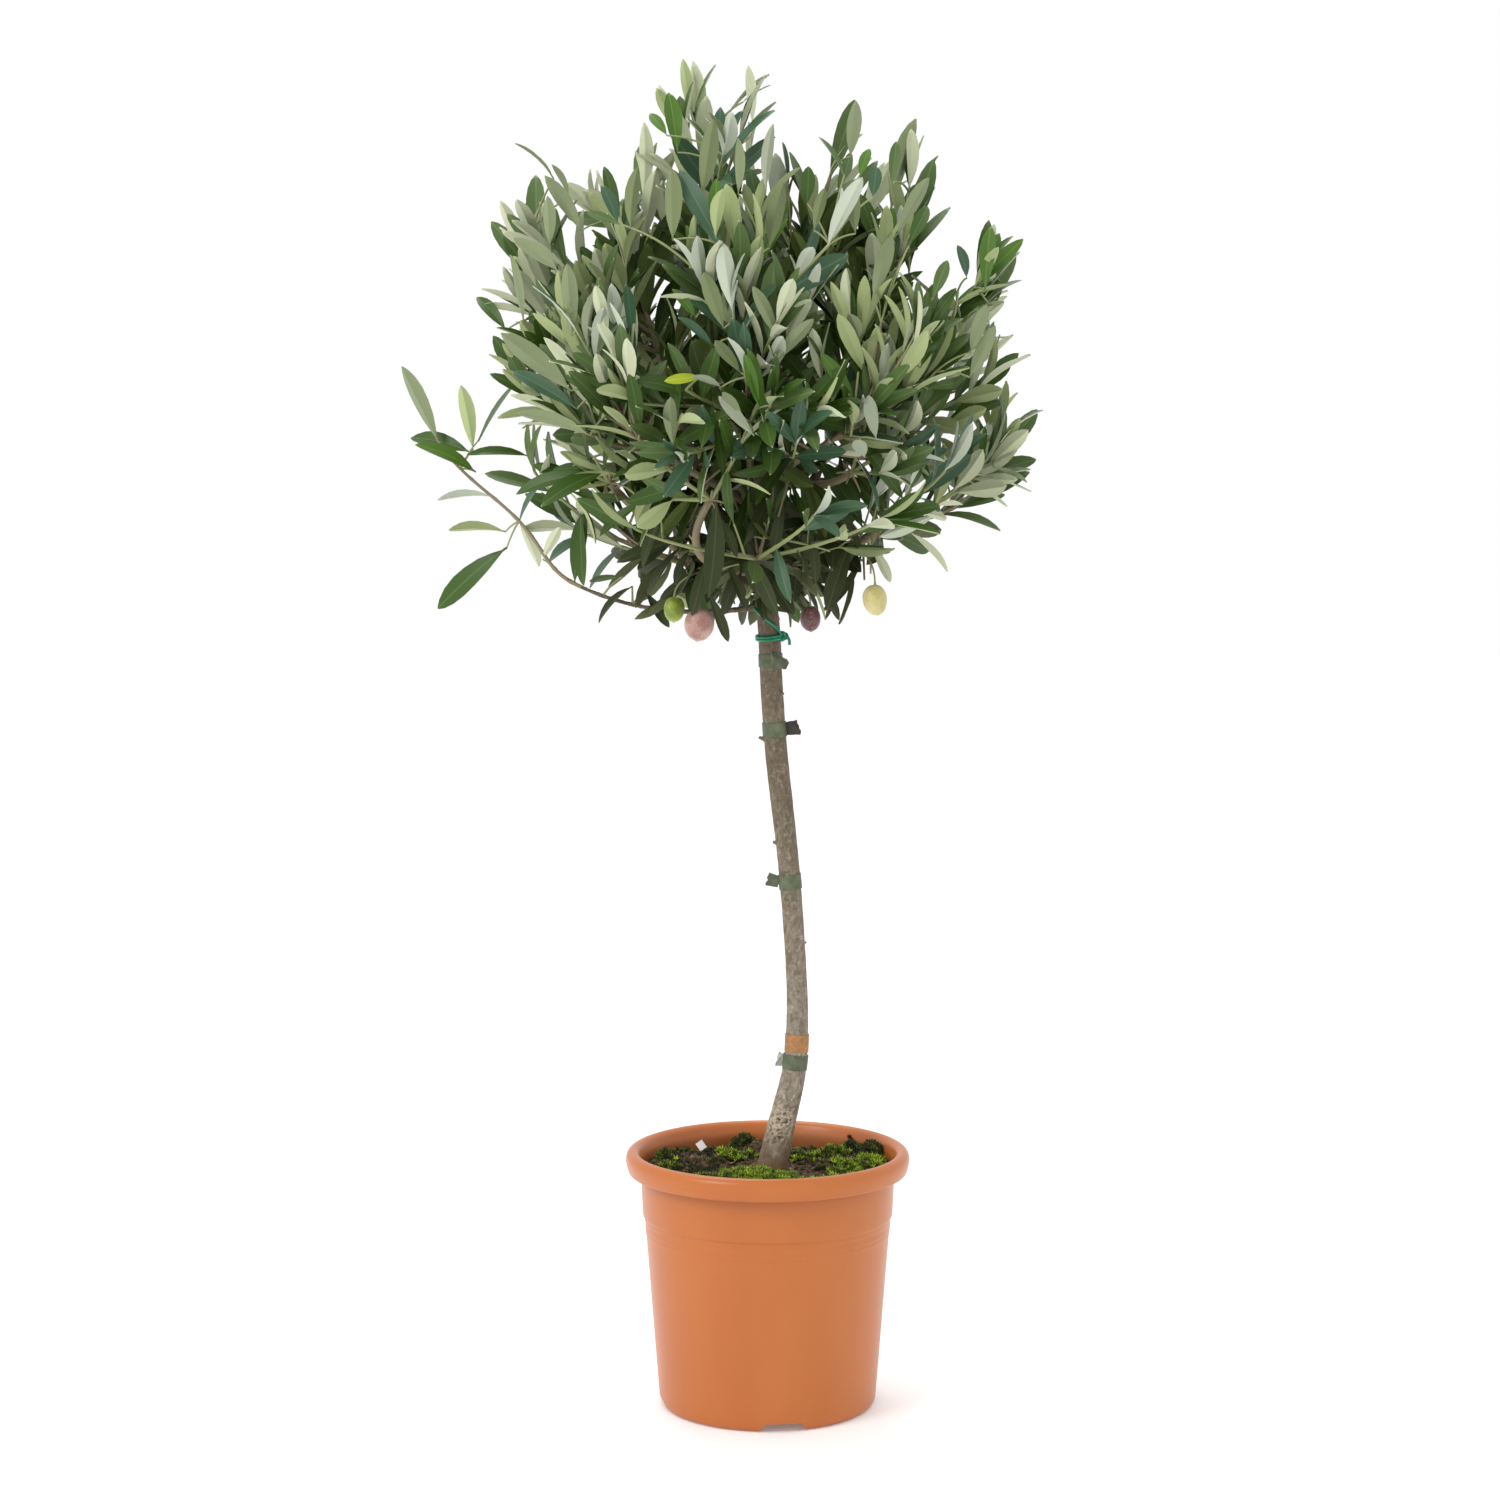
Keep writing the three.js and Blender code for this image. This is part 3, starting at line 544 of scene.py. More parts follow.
# Living cushion moss: old brown-green stems at the foot, dark green cushions, and fresh yellow-green tips
# where it grows strongest. It is soft and drinks the light, with no shine.
moss_stems = new_material("cushion_moss_stems", Base_Color=linear("#33351a"), Roughness=0.95)
moss_green = new_material("cushion_moss_leaves", Base_Color=linear("#5f7420"), Roughness=0.9)
moss_tips = new_material("cushion_moss_tips", Base_Color=linear("#a3b82c"), Roughness=0.85)
MOSS_LAYERS = [  # spacing, density, sizes, finish, seed, and its share of the cover by freshness and dome
    ("moss_stems", 0.0017, 4e5, 0.0022, 0.004, moss_stems, 21, lambda fresh, dome: 0.9),
    ("moss_leaves", 0.0016, 4.2e5, 0.0026, 0.005, moss_green, 22, lambda fresh, dome: 0.12 + 0.8 * fresh),
    ("moss_tips", 0.0016, 4.2e5, 0.0028, 0.0052, moss_tips, 23,
     lambda fresh, dome: fresh * (0.4 + dome) - 0.25),
]
for name, spacing, density, smallest, largest, moss, seed, share in MOSS_LAYERS:
    layer = cover_sheet(
        name, lambda x, y: mossiness(x, y) * held(share(moss_patch(x, y)[1], cushion(x, y))), moss_rise)
    grown(layer, strewing, Shape=sprig, Spacing=spacing, Density=density, Smallest=smallest, Largest=largest,
          Tumble=0.45, Finish=moss, Seed=seed)
    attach(layer, "root")

# Old moss that has grown up into balls against the wall, and behind the trunk.
MOSS_BALLS = [  # middle, radius, height
    (89, 38, 9, 15), (80, 50, 5, 6), (-25, 85, 6, 6), (-17, 87, 5, 4), (72, 62, 6.5, 7),
]
BALL_SECTION = [(0, 0), (0.7, 0), (1, 0.4), (0.8, 0.78), (0.35, 1), (0, 1)]  # shares of radius and height
BALL_TURNS = 14
BALL_LAYERS = [("moss_balls_dark", moss_stems, 1.0, 31), ("moss_balls_green", moss_green, 0.45, 32)]
for name, moss, cover, seed in BALL_LAYERS:
    domes = []
    for x, y, radius, high in MOSS_BALLS:
        foot = Vector((x, y, soil_height(x, y) - 1))
        dome, faces = turned([Vector((radius * r, high * h)) for r, h in BALL_SECTION], BALL_TURNS)
        domes.append(([(foot + v * (1 + 0.18 * noise.noise((foot + v) * 0.3))) * MM for v in dome], faces))
    balls = new_object(name, *joined(domes), [])
    share = balls.data.attributes.new("cover", "FLOAT", "POINT")
    share.data.foreach_set("value", [cover] * len(balls.data.vertices))
    grown(balls, strewing, Shape=sprig, Spacing=0.0014, Density=450000.0, Smallest=0.0026, Largest=0.0046,
          Tumble=1.0, Finish=moss, Seed=seed)
    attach(balls, "root")

# Bits of peat and root that have dried on to the inside of the rim.
RIM_INSIDE = 105.6
DRIED_BITS = [  # turn round the rim, height, size
    (0.83, 211, 4.5), (0.8, 209.5, 3), (0.62, 211, 3.4), (-2.5, 211, 3.5), (4.2, 210, 3),
]
crumb_faces = [tuple(f.vertices) for f in crumb.data.polygons]
parts = []
for turn, height, size in DRIED_BITS:
    middle = Vector((RIM_INSIDE * math.cos(turn), RIM_INSIDE * math.sin(turn), height))
    spots = [middle + Vector((v.co.x, v.co.y * 0.8, v.co.z * 1.3)) * size for v in crumb.data.vertices]
    parts.append(([p * MM for p in spots], crumb_faces))
bits = new_object("dried_bits", *joined(parts), [peat])
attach(bits, "root")
for thing in (crumb, chip, sprig):
    bpy.data.objects.remove(thing)

# A curled flake of white packing foam that came with the compost, tipped up on its edge.
FLAKE_LENGTH, FLAKE_STEPS = 6.6, 6
FLAKE_SECTION = [(-3.9, -0.4), (3.9, -0.4), (3.8, 0.4), (-3.9, 0.4)]
white_foam = new_material("white_packing_foam", Base_Color=linear("#e4e1df"), Roughness=0.85)
tipped = Matrix.Rotation(1.2, 4, "X") @ Matrix.Rotation(0.62, 4, "Z")
lean = Matrix.Translation(Vector((-57, 56, 208))) @ tipped
spots, faces = [], []
for i in range(FLAKE_STEPS + 1):
    across = (i / FLAKE_STEPS - 0.5) * FLAKE_LENGTH
    for y, z in FLAKE_SECTION:
        spots.append(lean @ Vector((across, y + 0.25 * math.sin(i * 2.2), z + 0.05 * across * across)) * MM)
for i in range(FLAKE_STEPS):
    faces += [(i * 4 + j, i * 4 + 4 + j, i * 4 + 4 + (j + 1) % 4, i * 4 + (j + 1) % 4) for j in range(4)]
faces += [(0, 1, 2, 3), tuple(4 * FLAKE_STEPS + j for j in (3, 2, 1, 0))]
flake = new_object("white_flake", spots, faces, [white_foam])
flake.data.set_sharp_from_angle(angle=math.radians(40))
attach(flake, "root")


# Limbs
# The tree's frame: a trunk that bends twice, and seventeen limbs that leave it or each other. Each limb is a
# bough up to where its foliage starts, and from there on the stem that its shoots grow from.
UP = Vector((0, 0, 1))
TRUNK = [  # height, x, y, radius
    (186, 1, 0, 16), (208, 5, 0, 12.6), (240, 12, 1, 11.6), (285, 22.3, 2, 10.1), (330, 24.9, 3, 9.2),
    (390, 22.8, 4, 8.8), (470, 16.4, 3, 9.0), (550, 7.4, 1, 9.4), (610, 3.2, 0, 9.4), (660, 0.6, -1, 9.3),
    (704, -5, -1, 8.9), (748, -12, 0, 7.4),
]
LIMBS = {  # where it leaves the trunk (a height) or a limb (a share), its furthest leaf tip, how it bows;
    # bare: the share that is a bough; rise: how its shoots turn up; reach: the radius of a space of its own
    "top_centre": dict(at=748, tip=(-64, -10, 1124), climb=0.02),
    "left_high": dict(at=724, tip=(-222, 15, 985), climb=-0.1),
    "right_high": dict(at=731, tip=(208, 20, 968), climb=-0.1),
    "front_high": dict(at=740, tip=(-25, -190, 985), climb=-0.1),
    "back_high": dict(at=716, tip=(0, 190, 990), climb=-0.1),
    "right_low": dict(at=706, tip=(220, 5, 786), climb=-0.04, bare=0.2, rise=0.12),
    "left_low": dict(at=690, tip=(-205, 20, 768), climb=-0.04, bare=0.2, rise=0.1),
    "front_low": dict(at=698, tip=(-15, -170, 700), climb=0.14, bare=0.22, rise=-0.1, slim=0.7),
    "back_low": dict(at=684, tip=(15, 170, 706), climb=0.1, bare=0.22, rise=-0.1),
    "left_spray": dict(at=676, tip=(-304, -25, 877), climb=-0.42, bow=0.6, bare=0.5, reach=92, slim=0.55,
                       sway=Vector((17, 0, 4))),
    "top_right": dict(off="top_centre", at=0.2, tip=(72, 10, 1094), climb=-0.04),
    "upper_right": dict(off="right_high", at=0.2, tip=(134, -50, 1042), climb=-0.05),
    "upper_left": dict(off="left_high", at=0.2, tip=(-140, -40, 1056), climb=-0.05),
    "front_left": dict(off="front_high", at=0.12, tip=(-160, -165, 868), climb=-0.08),
    "front_right": dict(off="front_high", at=0.21, tip=(112, -195, 872), climb=-0.08),
    "back_left": dict(off="back_high", at=0.12, tip=(-140, 175, 872), climb=-0.08),
    "back_right": dict(off="back_high", at=0.21, tip=(135, 180, 880), climb=-0.08),
}
TIP_LEAF = 69  # from a limb's end to the tip of its last leaf
BOUGH_RADIUS, SIDE_BOUGH_RADIUS, STEM_RADIUS, STEM_END_RADIUS = 4.6, 3.9, 3.0, 1.5


def mix(a, b, share):
    """What lies between two values, at a share of the way from the first."""
    return a + (b - a) * share


class Sweep:
    """A limb's or twig's middle line: from a start to an end, drawn towards a bend on the way."""

    def __init__(self, start, bend, end, sway=None):
        self.start, self.bend, self.end, self.sway = start, bend, end, sway
        points = [self.at(i / 12) for i in range(13)]
        self.length = sum((b - a).length for a, b in zip(points, points[1:]))

    def at(self, share):
        """The place at a share of the way."""
        rest = 1 - share
        place = self.start * rest * rest + self.bend * 2 * share * rest + self.end * share * share
        if self.sway and share > 0.5:
            place += self.sway * math.sin(math.pi * (2 * share - 1)) ** 2
        return place

    def along(self, share):
        """The line's direction there."""
        return ((self.bend - self.start) * (1 - share) + (self.end - self.bend) * share).normalized()

    def square(self, share, turn):
        """A direction square to the line, turned round it. It never flips on the way."""
        chord = [abs(c) for c in self.end - self.start]
        axis = Vector((0, 0, 0))
        axis[chord.index(min(chord))] = 1
        along = self.along(share)
        return Quaternion(along, turn) @ (axis - along * axis.dot(along)).normalized()

    def leaning(self, share, lean, turn):
        """A direction that leans out from the line by an angle, turned round it."""
        return self.along(share) * math.cos(lean) + self.square(share, turn) * math.sin(lean)


def on_curve(points, i, t):
    """A place on a smooth line through points, at a share of the way from one of them to the next."""
    a, b = points[i], points[i + 1]
    before = points[i - 1] if i else a * 2 - b
    after = points[i + 2] if i + 2 < len(points) else b * 2 - a
    return (a * 2 + (b - before) * t + (before * 2 - a * 5 + b * 4 - after) * t * t
            + (a * 3 - before - b * 3 + after) * t * t * t) * 0.5


def trunk_at(height):
    """The trunk's middle and radius at a height, on a smooth line through its stations."""
    i = max(k for k in range(len(TRUNK) - 1) if TRUNK[k][0] <= height)
    share = (height - TRUNK[i][0]) / (TRUNK[i + 1][0] - TRUNK[i][0])
    stations = [Vector((x, y, level, radius)) for level, x, y, radius in TRUNK]
    return Vector(on_curve(stations, i, share)[:3]), mix(stations[i][3], stations[i + 1][3], share)


USUAL = dict(bare=0.3, rise=0.22, bow=0.5, reach=None, off=None, slim=1, sway=None)
for limb in LIMBS.values():
    for key, usual in USUAL.items():
        limb.setdefault(key, usual)
    start = LIMBS[limb["off"]]["line"].at(limb["at"]) if limb["off"] else trunk_at(limb["at"])[0]
    tip = Vector(limb["tip"])
    bend = start.lerp(tip, limb["bow"]) + UP * limb["climb"] * (tip - start).length
    limb["line"] = Sweep(start, bend, tip - (tip - bend).normalized() * TIP_LEAF, limb["sway"])
    limb["middle"] = limb["line"].at((1 + limb["bare"]) / 2)


# Trunk and boughs
# The wood of a tree some four years old: thin grey-brown bark, smooth but for fine cracks, round pores, and
# the healed scars and short stubs of side shoots that were pruned off. The boughs leave it in thick collars.
def tube(points, radii, sides):
    """A closed round tube along points, as vertices and faces."""
    count = len(points)
    vertices, faces = [], []
    side = None
    for i, p in enumerate(points):
        along = (points[min(i + 1, count - 1)] - points[max(i - 1, 0)]).normalized()
        guide = side if side is not None else Vector((1, 0, 0) if abs(along.x) < 0.8 else (0, 1, 0))
        side = (guide - along * guide.dot(along)).normalized()
        other = along.cross(side)
        for k in range(sides):
            a = 2 * math.pi * k / sides
            vertices.append(p + (side * math.cos(a) + other * math.sin(a)) * radii[i])
    for i in range(count - 1):
        for k in range(sides):
            nxt = (k + 1) % sides
            faces.append((i * sides + k, i * sides + nxt, (i + 1) * sides + nxt, (i + 1) * sides + k))
    faces.append(tuple(reversed(range(sides))))
    faces.append(tuple((count - 1) * sides + k for k in range(sides)))
    return vertices, faces


STUBS = [  # pruned side shoots: height, turn round the trunk from the right, radius, length
    (563, -2.9, 1.7, 5.5), (477, -2.7, 1.5, 4.5), (640, 2.2, 1.9, 5), (392, 0.4, 1.4, 3),
    (524, 1.2, 1.6, 3.5), (345, 2.4, 1.5, 3), (602, -0.6, 1.5, 3),
]
SCARS = [  # healed wounds, sunk in a swollen ring: height, turn, radius
    (250, -1.6, 3.0), (245, -2.0, 2.6), (243, -1.2, 2.8), (236, -1.8, 3.2), (231, -1.45, 2.4),
]
SCARRED = (240, -1.7, 14)  # the pale crust round them: height, turn, radius


def trunk_side(height, turn):
    """A place on the trunk's face, and the way out of it."""
    middle, radius = trunk_at(height)
    out = Vector((math.cos(turn), math.sin(turn), 0))
    return middle + out * radius, out


TRUNK_FOOT, TRUNK_END, TRUNK_STEPS, TRUNK_SIDES = 190, 748, 90, 28
BOUGH_STEPS, BOUGH_SIDES, STUB_SIDES = 24, 14, 10
heights = [TRUNK_FOOT + i * (TRUNK_END - TRUNK_FOOT) / TRUNK_STEPS for i in range(TRUNK_STEPS + 1)]
parts = [tube([trunk_at(h)[0] for h in heights], [trunk_at(h)[1] for h in heights], TRUNK_SIDES)]
for limb in LIMBS.values():
    thick = SIDE_BOUGH_RADIUS if limb["off"] else BOUGH_RADIUS
    line = limb["line"]
    shares = [i / BOUGH_STEPS * limb["bare"] * 1.06 for i in range(BOUGH_STEPS + 1)]
    radii = []
    for s in shares:
        collar = 1 + 0.5 * math.exp(-((s * line.length - 8) / 7) ** 2)
        radii.append(mix(thick, STEM_RADIUS, min(1, s / limb["bare"])) * collar * limb["slim"])
    parts.append(tube([line.at(s) for s in shares], radii, BOUGH_SIDES))
for height, turn, radius, length in STUBS:
    side, out = trunk_side(height, turn)
    way = (out + UP * 0.5).normalized()
    spine = [side - out * 3, side + way * length * 0.6, side + way * length]
    parts.append(tube(spine, [radius * 1.5, radius, radius * 0.9], STUB_SIDES))

# Young olive bark: grey-brown with fine pale and dark specks, a whitish film on its lower half, brown at the
# foot, and cracked brown pits in pale callus where shoots were cut off. It is satin-dull.
bark = new_material("young_olive_bark", Roughness=0.78, Specular_IOR_Level=0.35)
tree = bark.node_tree
place = node(tree, "ShaderNodeTexCoord")
height_mark = node(tree, "ShaderNodeSeparateXYZ", {"Vector": place.outputs["Object"]})


def grain(scale, low, high, stretch=1.0, detail=4):
    """A noise in the bark, spread so that it runs from 0 to 1 between two of its values."""
    return spread(tree, cloud(tree, scale, detail, 0.65, stretch), low, high)


def by_height(low, high, at_low, at_high):
    """A share that changes with height, in metres."""
    return spread(tree, height_mark.outputs["Z"], low, high, at_low, at_high)


callus = node(tree, "ShaderNodeAttribute", attribute_name="callus").outputs["Fac"]
pit = node(tree, "ShaderNodeAttribute", attribute_name="pit").outputs["Fac"]
film = both(tree, grain(230, 0.28, 0.72, stretch=0.6), by_height(0.3, 0.52, 0.7, 0.06))
pale_flecks = both(tree, grain(205, 0.58, 0.65), by_height(0.3, 0.45, 0.6, 0.25))
muddy_foot = both(tree, by_height(0.198, 0.24, 1.0, 0), grain(90, 0.2, 0.5))
bark_layers = [  # how much of each tone lies over those before it
    (grain(62, 0.34, 0.68), "#726654"),
    (both(tree, grain(380, 0.5, 0.66, stretch=0.55), 0.5), "#9b8f7f"),
    (both(tree, grain(560, 0.54, 0.68, detail=3), 0.6), "#40362a"),
    (both(tree, grain(110, 0.58, 0.68), 0.5), "#6a4c2c"),
    (film, "#b3aa9b"),
    (both(tree, grain(150, 0.54, 0.63, stretch=0.8, detail=5), 0.55), "#4d4231"),
    (pale_flecks, "#beb4a4"),
    (by_height(0.44, 0.52, 0, 0.16), "#4d4436"),
    (callus, "#cdc2b0"),
    (both(tree, grain(420, 0.42, 0.6), callus), "#8c7558"),
    (pit, "#553a24"),
    (muddy_foot, "#644a2a"),
    (by_height(0.62, 0.8, 0, 0.6), "#5e5340"),
]
tone = linear("#5a4e3b")
for share, colour in bark_layers:
    tone = blended(tree, share, tone, colour)
cracks = cloud(tree, 420, 4, rough=0.7, stretch=0.4)
link_finish(tree, Base_Color=tone, Normal=relief(tree, cracks, 0.6, 0.0009))

vertices, faces = joined(parts)
wood = new_object("trunk_and_boughs", [v * MM for v in vertices], faces, [bark])
remesh = wood.modifiers.new("one_skin", "REMESH")
remesh.mode = "VOXEL"
remesh.voxel_size = 0.0011
remesh.use_smooth_shade = True
smooth = wood.modifiers.new("healed", "SMOOTH")
smooth.factor = 0.5
smooth.iterations = 4
mesh = plain_mesh(wood)

# The relief: long soft ribs, fine upright cracks and pores, smooth under the ties, and the scars.
TIED_AT = (630, 571, 445.6, 292.2, 309.2, 653)  # heights that a tape or the twine has kept smooth
count = len(mesh.vertices)
flat = np.empty(count * 3)
mesh.vertices.foreach_get("co", flat)
spots = flat.reshape(-1, 3)
normals = np.empty(count * 3)
mesh.vertex_normals.foreach_get("vector", normals)
normals = normals.reshape(-1, 3)
lift = np.empty(count)
for i, (x, y, z) in enumerate(spots):
    rib = noise.noise(Vector((x * 90, y * 90, z * 9)))
    crack = noise.noise(Vector((x * 420, y * 420, z * 70)))
    grit = noise.noise(Vector((x * 900, y * 900, z * 700)))
    lift[i] = 0.35 * rib + 0.22 * crack + 0.1 * grit
for height in TIED_AT:
    lift *= 1 - 0.75 * np.exp(-(((spots[:, 2] / MM - height) / 8) ** 4))
callus, pit = np.zeros(count), np.zeros(count)
for height, turn, radius in SCARS:
    centre, out = trunk_side(height, turn)
    away = np.linalg.norm((spots / MM - np.array(centre)) * (1, 1, 1.35), axis=1) / radius
    for i in np.nonzero(away < 3)[0]:
        spot = Vector(spots[i]) / MM
        away[i] += 1.2 * noise.noise(spot * 0.42) + 0.8 * noise.noise(spot * 1.1)
    facing = normals @ np.array(out) > 0
    ring = facing * np.exp(-((away - 1.05) / 0.5) ** 2)
    hole = facing * np.exp(-((away / 0.42) ** 2))
    lift += 0.8 * ring - 1.5 * hole
    callus, pit = np.maximum(callus, 0.85 * ring), np.maximum(pit, 0.9 * hole)
centre, out = trunk_side(*SCARRED[:2])
away = np.linalg.norm(spots / MM - np.array(centre), axis=1) / SCARRED[2]
for i in np.nonzero((away < 1.6) & (normals @ np.array(out) > 0))[0]:
    spot = Vector(spots[i]) / MM
    crust = 1.1 - away[i] + 0.9 * noise.noise(spot * 0.3) + 0.5 * noise.noise(spot * 0.9)
    callus[i] = max(callus[i], 0.8 * held(crust * 2))
    pit[i] = max(pit[i], 0.85 * held((noise.noise(spot * 0.5) - 0.28) * 6) * (away[i] < 0.95))
for name, values in (("callus", callus), ("pit", pit)):
    mesh.attributes.new(name, "FLOAT", "POINT").data.foreach_set("value", values)
spots += normals * (lift * MM)[:, None]
mesh.vertices.foreach_set("co", spots.ravel())
mesh.update()
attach(wood, "root")
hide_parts("trunk", *[f"bough_{name}" for name in LIMBS])


# Ties
# What the grower put round the trunk: four turns of soft tying tape, each with its pinched-off tail standing
# out, a faded orange marker, and two turns of smooth green twine under the crown, knotted on the right.
TAPES = [  # name, height, width, and its tail: where it starts and points (radians from the right), rise,
    # length, width, how far it is twisted over, and how deep its creases are
    ("tie_band_1", 630, 10.5, -1.6, -0.95, 0.12, 17, 16, 0.35, 2.6),
    ("tie_band_2", 571, 12.3, 0.0, -0.3, 0.15, 11.5, 12.5, 0.15, 1),
    ("tie_band_3", 445.6, 12.3, math.pi, math.pi, 0.3, 10.5, 11, 0.25, 1),
    ("tie_band_4", 292.2, 12.3, math.pi, math.pi, 0.25, 5.5, 12, 0.2, 1),
]


def trunk_ring(height, out, turn):
    """A place on a ring square to the trunk, and the trunk's way there.

    The place goes by how far it stands off the bark, and by its turn from the right.
    """
    middle, radius = trunk_at(height)
    above, _ = trunk_at(height + 4)
    along = (above - middle).normalized()
    side = (Vector((1, 0, 0)) - along * along.x).normalized()
    return middle + (side * math.cos(turn) + along.cross(side) * math.sin(turn)) * (radius + out), along


BAND_TURNS, BAND_ROWS = 64, 6


def band_shell(height, wide, stand_off, thick, seed):
    """A closed strip round the trunk, with slightly wavy edges and shallow puckers."""
    turns, rows = BAND_TURNS, BAND_ROWS
    vertices, faces = [], []
    for k in range(turns):
        a = 2 * math.pi * k / turns
        spot = Vector((math.cos(a) * 1.7, math.sin(a) * 1.7, seed))
        for row in list(range(rows)) + list(reversed(range(rows))):
            is_outer = len(vertices) % (2 * rows) < rows
            share = row / (rows - 1) - 0.5
            pucker = stand_off + 0.18 * noise.noise(spot * 2 + UP * row * 0.35)
            edge = 0.35 * noise.noise(spot + UP * (3 if share > 0 else 6))
            place, along = trunk_ring(height, pucker + (thick if is_outer else 0), a)
            vertices.append(place + along * (share * wide + edge))
    ring = 2 * rows
    for k in range(turns):
        nxt = (k + 1) % turns
        for i in range(ring):
            j = (i + 1) % ring
            faces.append((k * ring + i, nxt * ring + i, nxt * ring + j, k * ring + j))
    return vertices, faces


TAIL_STEPS, TAIL_ROWS = 10, 6
TAIL_HALF_THICK = 0.32


def tail_shell(height, start_turn, turn, rise, out, wide, twist, creased):
    """The tape's two pinched ends, that stand out from the band as one crumpled flag."""
    start, along = trunk_ring(height, 0.2, start_turn)
    flat = Vector((math.cos(turn), math.sin(turn), 0))
    way = (flat + along * rise).normalized()
    up = (along - way * along.dot(way)).normalized()
    steps, rows = TAIL_STEPS, TAIL_ROWS
    vertices, faces = [], []
    for i in range(steps):
        share = i / (steps - 1)
        turned_up = Quaternion(way, twist * min(1, share * 2.5)) @ up
        across = way.cross(turned_up)
        for face in (1, -1):
            for row in range(rows):
                high = (row / (rows - 1) - 0.5) * wide * mix(0.85, 1.06, share)
                folds = 1.5 * math.sin(share * 4 + row * 0.9) + 1.2 * math.sin(share * 8 + row * 1.7)
                aside = creased * folds * share + face * TAIL_HALF_THICK
                ragged = 0.7 * math.sin(row * 2.4) * (i == steps - 1)
                vertices.append(start + way * (out * share + ragged) + turned_up * high + across * aside)
    ring = 2 * rows
    order = list(range(rows)) + list(range(2 * rows - 1, rows - 1, -1))
    for i in range(steps - 1):
        for k in range(ring):
            a, b = order[k], order[(k + 1) % ring]
            faces.append((i * ring + a, i * ring + b, (i + 1) * ring + b, (i + 1) * ring + a))
    for k in range(rows - 1):
        faces.append((k, rows + k, rows + k + 1, k + 1))
        end = (steps - 1) * ring + k
        faces.append((end, end + 1, end + rows + 1, end + rows))
    return vertices, faces


def outward(thing):
    """Turns every face of a closed piece outwards."""
    shell = bmesh.new()
    shell.from_mesh(thing.data)
    bmesh.ops.recalc_face_normals(shell, faces=shell.faces)
    shell.to_mesh(thing.data)
    shell.free()


def tape_object(name, vertices, faces, materials, slots=None):
    """A piece of tape, from points in millimetres, with its faces turned outwards and its edges sharp."""
    tape = new_object(name, [v * MM for v in vertices], faces, materials, slots)
    outward(tape)
    tape.data.set_sharp_from_angle(angle=math.radians(50))
    return tape


# Soft PVC tying tape, once green and gone grey in the sun: a dull satin skin with faint stretch lines.
tape_vinyl = new_material("weathered_vinyl_tape", Roughness=0.55, Specular_IOR_Level=0.4)
tree = tape_vinyl.node_tree
link_finish(tree, Base_Color=two_tone(tree, cloud(tree, 160, 3), 0.35, "#4d543f", 0.7, "#636a52"),
            Normal=relief(tree, cloud(tree, 260, 2, stretch=9), 0.25, 0.0003))

# Where the last tape has torn, its end has stretched thin and gone chalky.
torn_vinyl = new_material("torn_vinyl_tape", Base_Color=linear("#a9ab9c"), Roughness=0.8)
# One tail on the damp side is nearly black: partly grime, partly painted shade.
grime_and_shade_vinyl = new_material("grime_and_shade_vinyl_tape", Base_Color=linear("#37342a"), Roughness=0.75)
TAPE_FINISHES = [tape_vinyl, torn_vinyl, grime_and_shade_vinyl]
TAIL_FINISH = {"tie_band_2": 2, "tie_band_4": 1}  # by number; the other tails are like their bands
for number, (name, height, wide, *tail) in enumerate(TAPES):
    band, flag = band_shell(height, wide, 0.35, 0.4, number), tail_shell(height, *tail)
    finishes = [0] * len(band[1]) + [TAIL_FINISH.get(name, 0)] * len(flag[1])
    tape = tape_object(f"tape_{number + 1}", *joined([band, flag]), TAPE_FINISHES, finishes)
    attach(tape, "root")
    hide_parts(name)

# A turn of orange marking tape, faded to tan and rubbed through to a paler film in places.
marker_film = new_material("faded_marking_tape", Roughness=0.6, Specular_IOR_Level=0.4)
tree = marker_film.node_tree
rub = cloud(tree, 210, 5, rough=0.65)
link_finish(tree, Base_Color=two_tone(tree, rub, 0.38, "#8a6a48", 0.6, "#b57c45"),
            Normal=relief(tree, rub, 0.3, 0.0004))
marker = tape_object("marking_tape", *band_shell(309.2, 14.5, 0.3, 0.3, 9), [marker_film])
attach(marker, "root")
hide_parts("marker_band")

# Smooth twine: a soft PVC tube, dyed bright green right through, with a wet-looking skin.
TWINE_RADIUS, TWINE_SIDES = 1.25, 10
TWINE_HEIGHT, TWINE_CLIMB = 647, 4.6  # where its two turns start, and how far they climb
TWINE_STEPS = 96
KNOT_TURN = -0.45
KNOT_SIZE, KNOT_STEPS = 1.15, 48
CLIMB = [(658, -1.0), (664, -1.6), (671, -2.3), (678, -3.1), (684, -3.9), (688, -4.7)]  # height, turn
LOOSE_END = [(0, 0, 0), (3, -2, 0), (5, -2.4, -3), (5.4, -2, -7)]  # from the knot's middle
twine_vinyl = new_material("green_vinyl_twine", Roughness=0.32, Specular_IOR_Level=0.5)
tree = twine_vinyl.node_tree
link_finish(tree, Base_Color=two_tone(tree, cloud(tree, 120, 2), 0, "#045c41", 1, "#16936a"))


def through(points, steps=6):
    """A smooth line through a few points."""
    spans = range(len(points) - 1)
    return [on_curve(points, i, k / steps) for i in spans for k in range(steps)] + [points[-1]]


